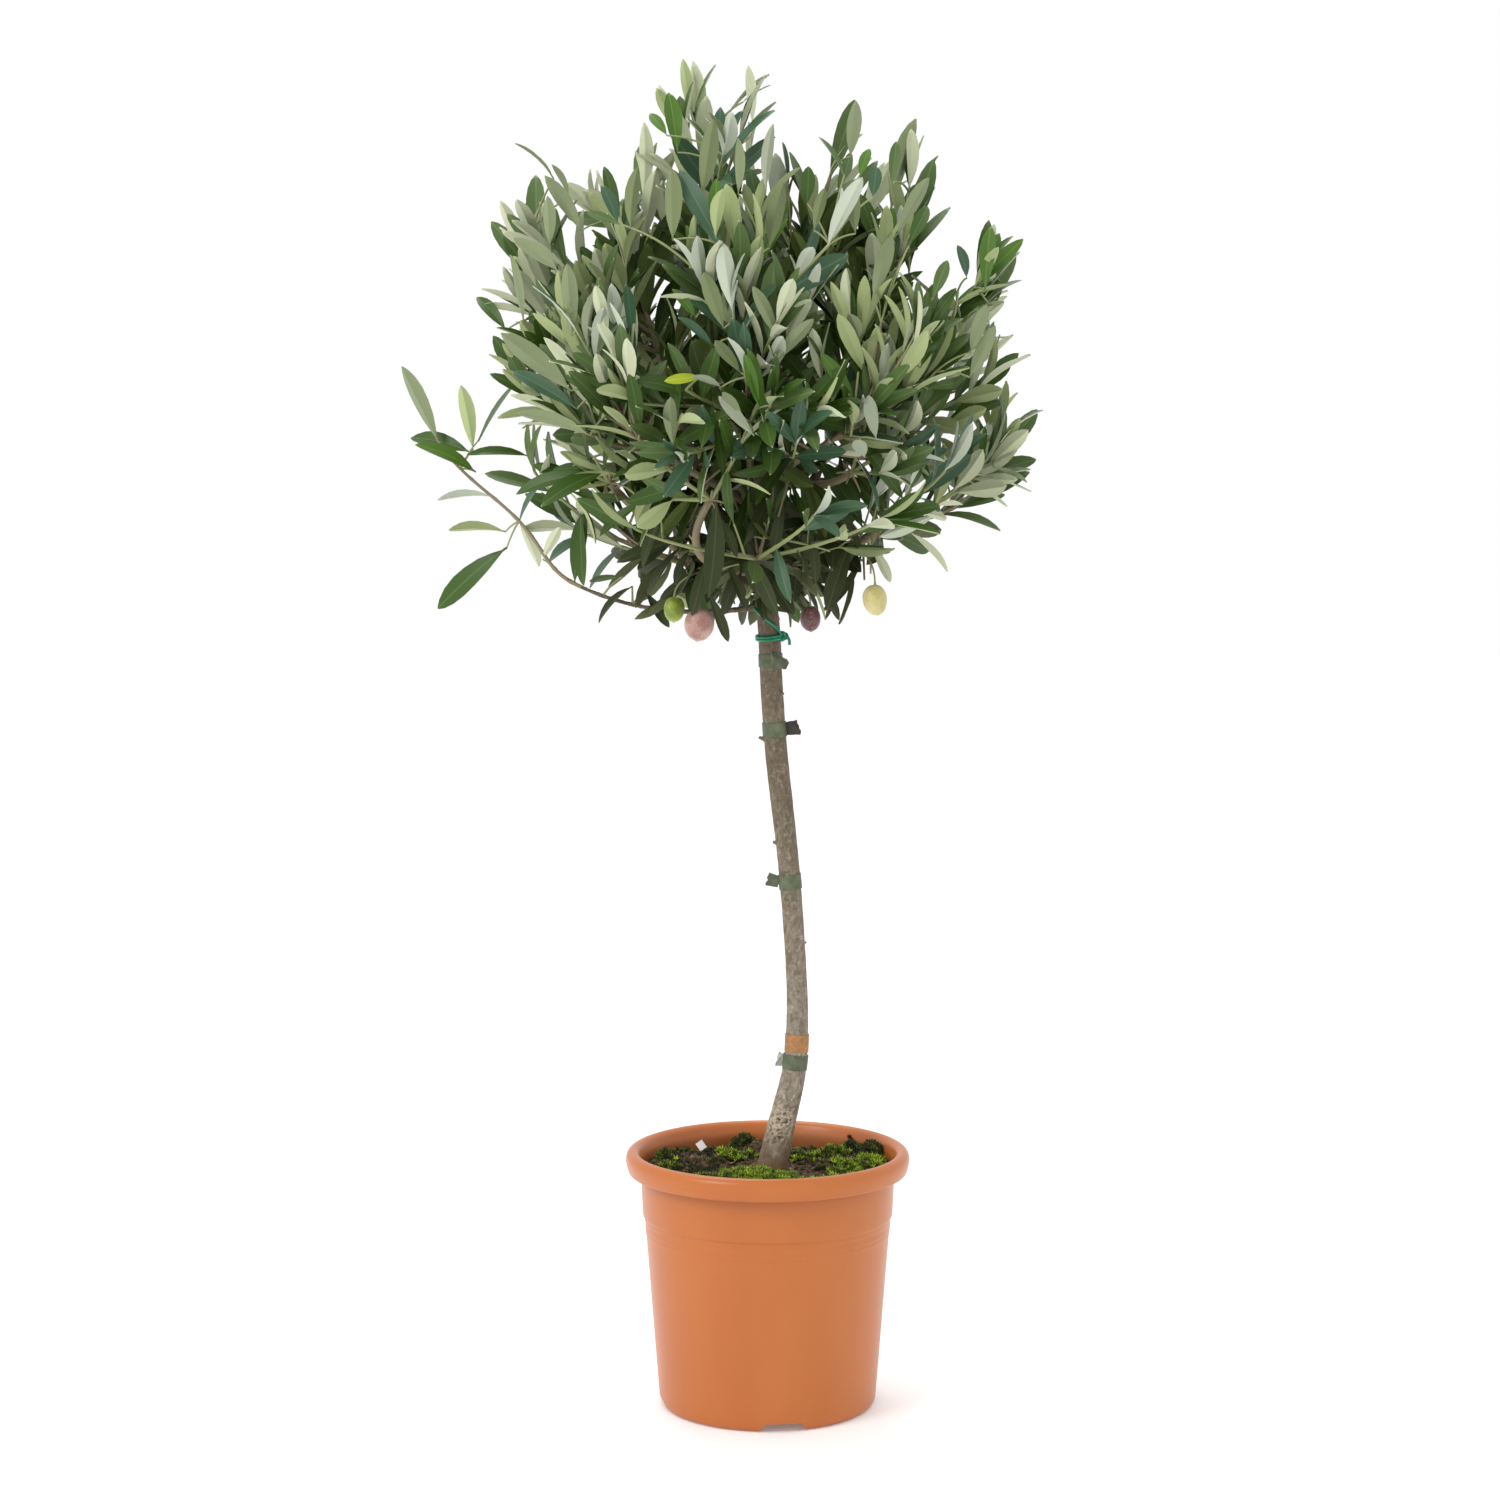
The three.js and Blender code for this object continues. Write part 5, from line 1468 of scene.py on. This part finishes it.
# Olives
# Four ripening olives that hang under the crown on thin stalks: firm oval drupes with a waxy bloom and fine
# pale pores, one still green, one straw yellow, one flushed pink and one purple.
OLIVES = {  # its limb and where the stalk leaves it, middle, radius, length, and its two skin colours
    "pink": ("front_low", 0.3, (-56, -60, 664), 12.2, 27, "#95695f", "#c09c91"),
    "green": ("front_low", 0.15, (-77, -35, 675), 8.6, 21, "#6d8214", "#98ab33"),
    "purple": ("front_low", 0.1, (34, -62, 669), 8.4, 21, "#4a2428", "#6a393d"),
    "yellow": ("right_low", 0.18, (85, -100, 686), 9.8, 25, "#b3a765", "#cfc48c"),
}
STALK_STEPS, OLIVE_STEPS, OLIVE_TURNS = 14, 16, 24
flesh_parts, flesh_slots, skins, stalk_lines = [], [], [], []
for number, (name, (limb_name, at, centre, radius, length, dark, light)) in enumerate(OLIVES.items()):
    limb = LIMBS[limb_name]
    centre = Vector(centre)
    top = centre + UP * length * 0.46
    start = limb["line"].at(mix(limb["bare"], 1, at))
    stalk = Sweep(start, Vector((top.x, top.y, max(start.z, top.z + 20))), top)
    stalk_line = []
    for i in range(STALK_STEPS + 1):
        stalk_line.append((stalk.at(i / STALK_STEPS), 0.75 + 0.5 * (i == STALK_STEPS) + 0.35 * (i == 0)))
    stalk_lines.append(stalk_line)
    section = []
    for i in range(OLIVE_STEPS + 1):
        a = math.pi * i / OLIVE_STEPS
        r = radius * math.sin(a) ** 0.92 * (1 - 0.05 * math.cos(a))
        dimple = 0.9 * math.exp(-((i - OLIVE_STEPS) / 1.3) ** 2)
        section.append(Vector((max(r, 0), -math.cos(a) * length / 2 - (0.8 if i == 0 else 0) - dimple)))
    vertices, faces = turned(section, OLIVE_TURNS)
    lean = Quaternion((1, 0, 0), 0.12 * (number - 1.5)) @ Quaternion((0, 1, 0), 0.1 * (1.5 - number))
    vertices = [centre + lean @ (v * (1 + 0.03 * noise.noise(v * 0.12 + UP * number * 9))) for v in vertices]
    flesh_parts.append((vertices, faces))
    flesh_slots += [number] * len(faces)

    # The skin: two tones that run into each other as it ripens, pale pores, and a dull bloom over a soft
    # shine.
    skin = new_material(f"olive_skin_{name}", Roughness=0.4, Coat_Weight=0.15, Coat_Roughness=0.35,
                        Sheen_Weight=0.15)
    tree = skin.node_tree
    flesh = two_tone(tree, cloud(tree, 75, 5, rough=0.6), 0.38, dark, 0.64, light)
    place = node(tree, "ShaderNodeTexCoord")
    pores = node(tree, "ShaderNodeTexVoronoi", {"Vector": place.outputs["Object"], "Scale": 700})
    between = spread(tree, pores.outputs["Distance"], 0.1, 0.22)
    link_finish(tree, Base_Color=blended(tree, between, "#c9bda0", flesh))
    skins.append(skin)

vertices, faces = joined(flesh_parts)
drupes = new_object("olives", [v * MM for v in vertices], faces, skins, flesh_slots)
stalks = grown(twig_lines("olive_stalks", stalk_lines), tubes, Sides=8, Finish=shoot_skin)
for thing in (drupes, stalks):
    outward(thing)
    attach(thing, "root")
    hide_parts("foliage_front_low", "foliage_right_low")


# Leaves
# Lance-shaped leathery leaves in opposite pairs, each pair square to the one before, on stalks of a few
# millimetres. They are dark and waxy above, felted pale grey-green below, with one rib that stands out there.
LEAF_STATIONS = [  # share of the length, share of the half width
    (0.0, 0.09), (0.06, 0.1), (0.16, 0.4), (0.32, 0.76), (0.5, 0.96), (0.66, 1.0), (0.81, 0.83), (0.93, 0.48),
    (1.0, 0.07),
]
LEAF_LENGTH = 58
LEAF_HALF_WIDTH = 0.128  # of the length
STALK_SHARE = 0.12  # of the length
LEAF_CORNERS = 7  # round a leaf's section: its margins are corners 0 and 3, its rib lies between 1 and 2
MARGINS = (0, 3)


def leaf_shape(name, bend, fold, twist):
    """A leaf one unit long and two wide, that lies along Y with its upper face up."""
    n, last = LEAF_CORNERS, len(LEAF_STATIONS) - 1
    vertices = []
    for along, half in LEAF_STATIONS:
        stalk = max(0, 1 - along / STALK_SHARE)
        top, keel = 0.006 + 0.004 * stalk, -0.016 - 0.004 * stalk
        upper_face = [(-half, 0), (-0.07, top), (0.07, top), (half, 0)]
        cos, sin = math.cos(twist * along), math.sin(twist * along)
        for x, z in upper_face + [(0.12, -0.005), (0, keel), (-0.12, -0.005)]:
            x = max(-half, min(half, x))
            z += fold * abs(x) * (1 - stalk) - bend * along * along + 0.02 * math.sin(along * math.pi)
            wide = x * LEAF_HALF_WIDTH
            vertices.append((cos * wide - sin * z, along, sin * wide + cos * z))
    faces, rib, under = [], [], []
    for i in range(last):
        for k in range(n):
            nxt = (k + 1) % n
            faces.append((i * n + nxt, i * n + k, (i + 1) * n + k, (i + 1) * n + nxt))
            rib.append(k == 1)
            under.append(k >= MARGINS[1])
    faces += [tuple(range(n)), tuple(reversed(range(last * n, (last + 1) * n)))]
    rib += [False, False]
    under += [True, True]
    mesh = bpy.data.meshes.new(name)
    mesh.from_pydata(vertices, [], faces, shade_flat=False)
    mesh.attributes.new("rib", "BOOLEAN", "FACE").data.foreach_set("value", rib)
    mesh.attributes.new("under", "BOOLEAN", "FACE").data.foreach_set("value", under)
    sharp = []
    for a, b in (edge.vertices for edge in mesh.edges):
        sharp.append(a % n in MARGINS and b % n in MARGINS and abs(a - b) == n)
    mesh.attributes.new("sharp_edge", "BOOLEAN", "EDGE").data.foreach_set("value", sharp)
    return bpy.data.objects.new(name, mesh)


LEAF_BENDS = [  # how far the tip bends down, how far the halves fold up, and the twist in radians
    (0.02, 0.02, 0.0), (0.1, 0.03, 0.25), (0.05, 0.05, -0.3), (0.16, 0.02, 0.1), (-0.05, 0.04, 0.2),
    (0.24, 0.05, -0.2),
]
leaf_shapes = bpy.data.collections.new("leaf_shapes")
for i, (bend, fold, twist) in enumerate(LEAF_BENDS):
    leaf_shapes.objects.link(leaf_shape(f"leaf_{i}", bend, fold, twist))


def leafing_tree():
    """A leaf on every point, by the point's own shape, turn and size, with the faces' own finishes."""
    group, given = new_tree("leaves_on_shoots", Shapes="Collection", Upper="Material", Rib="Material",
                            Under="Material")
    shapes = node(group, "GeometryNodeCollectionInfo",
                  {"Collection": given["Shapes"], "Separate Children": True, "Reset Children": True})
    placed = node(group, "GeometryNodeInstanceOnPoints", {
        "Points": given["Geometry"], "Instance": shapes.outputs[0], "Pick Instance": True,
        "Instance Index": named(group, "shape", "INT"), "Rotation": named(group, "turn", "QUATERNION"),
        "Scale": named(group, "size", "FLOAT_VECTOR")})
    done = made_real(group, placed.outputs[0], given["Upper"])
    for face in ("Rib", "Under"):
        done = node(group, "GeometryNodeSetMaterial", {
            "Geometry": done, "Selection": named(group, face.lower(), "BOOLEAN"),
            "Material": given[face]}).outputs[0]
    node(group, "NodeGroupOutput", {"Geometry": done})
    return group


TINTS = {  # of the blade's upper face, its rib and its underside; the leaves of one spray share a tint
    # The first two tints are painted shade: old leaves in the crown's middle and under it, made dark for the
    # shade there.
    "shade": ("#2a3b11", "#3e4c1e", "#5b6936"),
    "dusk": ("#373e26", "#484e31", "#626849"),
    "deep": ("#375219", "#4e632f", "#9eaa76"),
    "grey": ("#4d6434", "#617546", "#c0c6a5"),
    "blue": ("#3b593e", "#506a52", "#bac2ae"),
    "fresh": ("#486b20", "#5f7d36", "#a8b67f"),
    "yellow": ("#94a11d", "#a8b23c", "#a9ae4c"),
    "sage": ("#4a5a38", "#5f7049", "#7f8a66"),
    "olive": ("#4a5c31", "#5a6c3d", "#6f7b53"),
    "pale": ("#4a5a44", "#5f6f58", "#969e86"),
}
leaves = {tint: [] for tint in TINTS}
CELL = 9  # of the grid that finds a leaf's neighbours
taken = {}


def cell_of(place):
    """The cell of the grid that a place is in."""
    return tuple(int(c // CELL) for c in place)


def is_crowded(centre, heading):
    """Whether a leaf's middle lies on another leaf that points the same way."""
    x, y, z = cell_of(centre)
    near = (-1, 0, 1)
    for cell in [(x + dx, y + dy, z + dz) for dx in near for dy in near for dz in near]:
        for other, way in taken.get(cell, ()):
            if (other - centre).length < 7 and way.dot(heading) > 0.6:
                return True
    return False


def leaf_lift(place):
    """How much leaves turn to the light: up in the upper crown, and down in its skirt near the trunk."""
    return mix(-0.95, 0.55, held((place.z - 675 + 0.4 * max(0, abs(place.x) - 50)) / 190))


def square_to(heading, way):
    """A way made square to a heading."""
    return (way - heading * way.dot(heading)).normalized()


def put_leaf(root, heading, upper, length, tint, draw, broad=1):
    """Puts one leaf down, whatever is there."""
    centre = root + heading * length * 0.55
    taken.setdefault(cell_of(centre), []).append((centre, heading))
    turn = Matrix((heading.cross(upper), heading, upper)).transposed().to_quaternion()
    wide = mix(0.78, 1.14, draw()) * broad
    leaves[tint].append((root, turn, (length * wide, length, length), int(draw() * len(LEAF_BENDS))))


def hides_olive(place):
    """Whether a place is on an olive or in front of it."""
    for _, _, (x, y, z), radius, *_ in OLIVES.values():
        if place.y < y + 14 and math.hypot(place.x - x, place.z - z) < radius + 5:
            return True
    return False


def hides_wood(places):
    """Whether one of some places is in front of the wood that shows between the leaves."""
    for x, z, radius, back in WINDOWS:
        if any(p.y < back and math.hypot(p.x - x, p.z - z) < radius for p in places):
            return True
    return False


def hides_leaf(place):
    """Whether a place is in front of a leaf that shows alone."""
    for middle, radius in clearings:
        if place.y < middle.y and math.hypot(place.x - middle.x, place.z - middle.z) < radius:
            return True
    return False


SKIRT = dict(top=745, radius=115)  # the crown's underside round the trunk, where the leaves are old and painted dark grey-green, as shade
SHADED_CORE_DEPTH, BARE_DEPTH = 0.62, 0.3  # nearer the crown's middle leaves are old and painted dark, as shade, and nearer still half have dropped
LOWEST_TIP, LOWEST_TIP_BY_TRUNK = 664, 650
TRUNK_TOP_CLEAR = dict(below=666, aside=24, front=20)  # the trunk shows below the crown here


def add_leaf(line, limb, share, lean, around, roll, length, droop, tint, draw, slack=1.03, stray=-18):
    """Puts a leaf on a twig, unless it leaves its space, lies on another or hides what shows in front."""
    root = line.at(share)
    heading = (line.leaning(share, lean, around) + UP * (leaf_lift(root) - droop)).normalized()
    upper = line.leaning(share, lean - math.pi / 2, around)
    outside = (root - CROWN["middle"]).normalized()
    turned_out = held((root.z - 690 - 0.6 * min(110, max(0, root.x))) / 190)
    upper += (outside + UP * 0.8) * mix(1.1, 0.1, turned_out)
    upper = Quaternion(heading, roll) @ square_to(heading, upper)
    tip = root + heading * length
    centre = root + heading * length * 0.55
    if slack < 9 and crown_depth(centre) < BARE_DEPTH and draw() < 0.5:
        return
    is_under = root.z < SKIRT["top"] and math.hypot(root.x, root.y) < SKIRT["radius"]
    # Leaves in the crown's middle and under it take the dark tints: painted shade, on old leaves.
    if (crown_depth(centre) < SHADED_CORE_DEPTH or is_under) and not limb["reach"]:
        old = "dusk" if is_under else "shade"
        tint = old if draw() < 0.85 else "deep"
    elif root.z < 830 and share < 0.9 and tint == "fresh":
        tint = "deep"
    is_low = min(root.z, tip.z) < TRUNK_TOP_CLEAR["below"]
    if is_low and abs(tip.x) < TRUNK_TOP_CLEAR["aside"] and tip.y < TRUNK_TOP_CLEAR["front"]:
        return
    if hides_wood((root, centre, tip, root.lerp(tip, 0.78))):
        return
    if not in_reach(limb, tip, slack) or not in_space(limb, centre, stray) or is_crowded(centre, heading):
        return
    if hides_leaf(centre) or hides_leaf(tip):
        return
    if tip.z < (LOWEST_TIP_BY_TRUNK if abs(tip.x + 24) < 50 else LOWEST_TIP):
        return
    if not (off_the_wood(centre, 2) and off_the_wood(tip, 2)):
        return
    if hides_olive(centre) or hides_olive(tip):
        return
    put_leaf(root, heading, upper, length, tint, draw)


def spray_tint(pick, height):
    """The tint of a spray: dark green prevails below, and grey and fresh green at the top."""
    up = held((height - 850) / 190)
    if pick < mix(0.06, 0.3, up):
        return "fresh"
    if pick < mix(0.6, 0.34, up):
        return "deep"
    return "grey" if pick < mix(0.82, 0.94, up) else "blue"


# The leaves that show alone come first. What they need clear in front of them is kept as places and radii.
CLEARING, YELLOW_CLEARING = 6.5, 17
SHORT_LEAF = 43  # a shorter one is seen from its end, so it is as wide as this one
clearings = []
draw = seeded(31)
for root, tip, tint, face in single_leaves:
    heading = (tip - root).normalized()
    upper = square_to(heading, Vector((0.5 * (draw() - 0.5), -face, math.sqrt(1 - face * face))))
    length = (tip - root).length
    put_leaf(root, heading, upper, length, tint, draw, 0.97 * max(length, SHORT_LEAF) / length)
    if root.y < -50:
        clear = YELLOW_CLEARING if tint == "yellow" else CLEARING
        clearings += [(root.lerp(tip, share), clear) for share in (0.3, 0.55, 0.8)]

# Then the pairs along each shoot, with two more at its end. A slack and a stray say how far a shoot's leaves
# may go out of the crown's outline and of their own mass's space.
SLACK = {0: 2.0, 3: 2.0, 4: 1.5}
for number, (line, limb, order) in enumerate(shoots):
    if order == 0 and limb["reach"]:
        continue
    draw = seeded(number + 900)
    pick = draw()
    slack = SLACK.get(order, 1.03)
    stray = -70 if order > 2 else -18
    tint = "shade" if order == 4 else spray_tint(pick, line.end.z)
    turn = number * 1.3
    shares = pair_shares(line, limb, order)
    for i, share in enumerate(shares):
        near_tip = max(0, (share - 0.5) * 2)
        for half in (0, math.pi):
            lean = mix(0.82, 0.34, near_tip) + 0.34 * (draw() - 0.5)
            around = turn + i * math.pi / 2 + half + 0.5 * (draw() - 0.5)
            length = LEAF_LENGTH * mix(0.8, 1.12, draw()) * mix(1, 0.9, near_tip)
            length *= 1 + 0.12 * held((line.end.z - 900) / 110)
            droop = 0.22 * (1 - near_tip) * draw() + 0.4 * (order == 4)
            roll = 1.7 * (draw() - 0.5)
            own = tint if draw() < 0.8 or order == 4 else "grey"
            add_leaf(line, limb, share, lean, around, roll, length, droop, own, draw, slack, stray)
    for half in (0, math.pi) if order in (1, 2, 3, 4) else ():
        length = LEAF_LENGTH * mix(0.65, 0.92, draw())
        around = turn + len(shares) * math.pi / 2 + half
        lean, roll = 0.2 + 0.15 * draw(), 0.5 * (draw() - 0.5)
        add_leaf(line, limb, 0.995, lean, around, roll, length, 0, tint, draw, slack, stray)

# Last, the leaf at the end of each limb, whose tip is the limb's own.
for name, limb in LIMBS.items():
    heading = limb["line"].along(1)
    to_back = limb["reach"] or name == "top_centre"
    upper = square_to(heading, Vector((0.3, 0.8 if to_back else -0.8, 0.2 if limb["reach"] else 0.5)))
    # The left spray's end leaf takes the sage felt, painted darker than the grey one, as shade.
    tint = "sage" if limb["reach"] else "grey"
    length = TIP_LEAF * (0.68 if name == "upper_left" else 0.97)
    put_leaf(limb["line"].at(0.99), heading, upper, length, tint, seeded(5))

leafing = leafing_tree()
for tint, (upper, rib, under) in TINTS.items():
    # The waxy upper face shines softly; the felt below doesn't, and its fine hairs whiten it at a low angle.
    # The old leaves deep inside, painted dark for the shade there, are dusty: they hardly shine, and their
    # felt is worn.
    shine, hairs = (0.12, 0.0) if tint in ("shade", "dusk") else (0.3, 0.14)
    finishes = dict(
        Upper=new_material(f"olive_leaf_upper_{tint}", Base_Color=linear(upper), Roughness=0.42,
                           Specular_IOR_Level=shine),
        Rib=new_material(f"olive_leaf_rib_{tint}", Base_Color=linear(rib), Roughness=0.5,
                         Specular_IOR_Level=shine),
        Under=new_material(f"olive_leaf_felt_{tint}", Base_Color=linear(under), Roughness=0.75,
                           Specular_IOR_Level=shine, Sheen_Weight=hairs),
    )
    roots, turns, sizes, shapes = zip(*leaves[tint])
    mesh = bpy.data.meshes.new(f"leaves_{tint}")
    mesh.from_pydata([tuple(root * MM) for root in roots], [], [])
    put = mesh.attributes.new
    put("turn", "QUATERNION", "POINT").data.foreach_set("value", [c for turn in turns for c in turn])
    put("size", "FLOAT_VECTOR", "POINT").data.foreach_set("vector", [c * MM for size in sizes for c in size])
    put("shape", "INT", "POINT").data.foreach_set("value", shapes)
    layer = bpy.data.objects.new(f"leaves_{tint}", mesh)
    scene.collection.objects.link(layer)
    grown(layer, leafing, Shapes=leaf_shapes, **finishes)
    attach(layer, "root")
    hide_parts(*foliage_nodes)
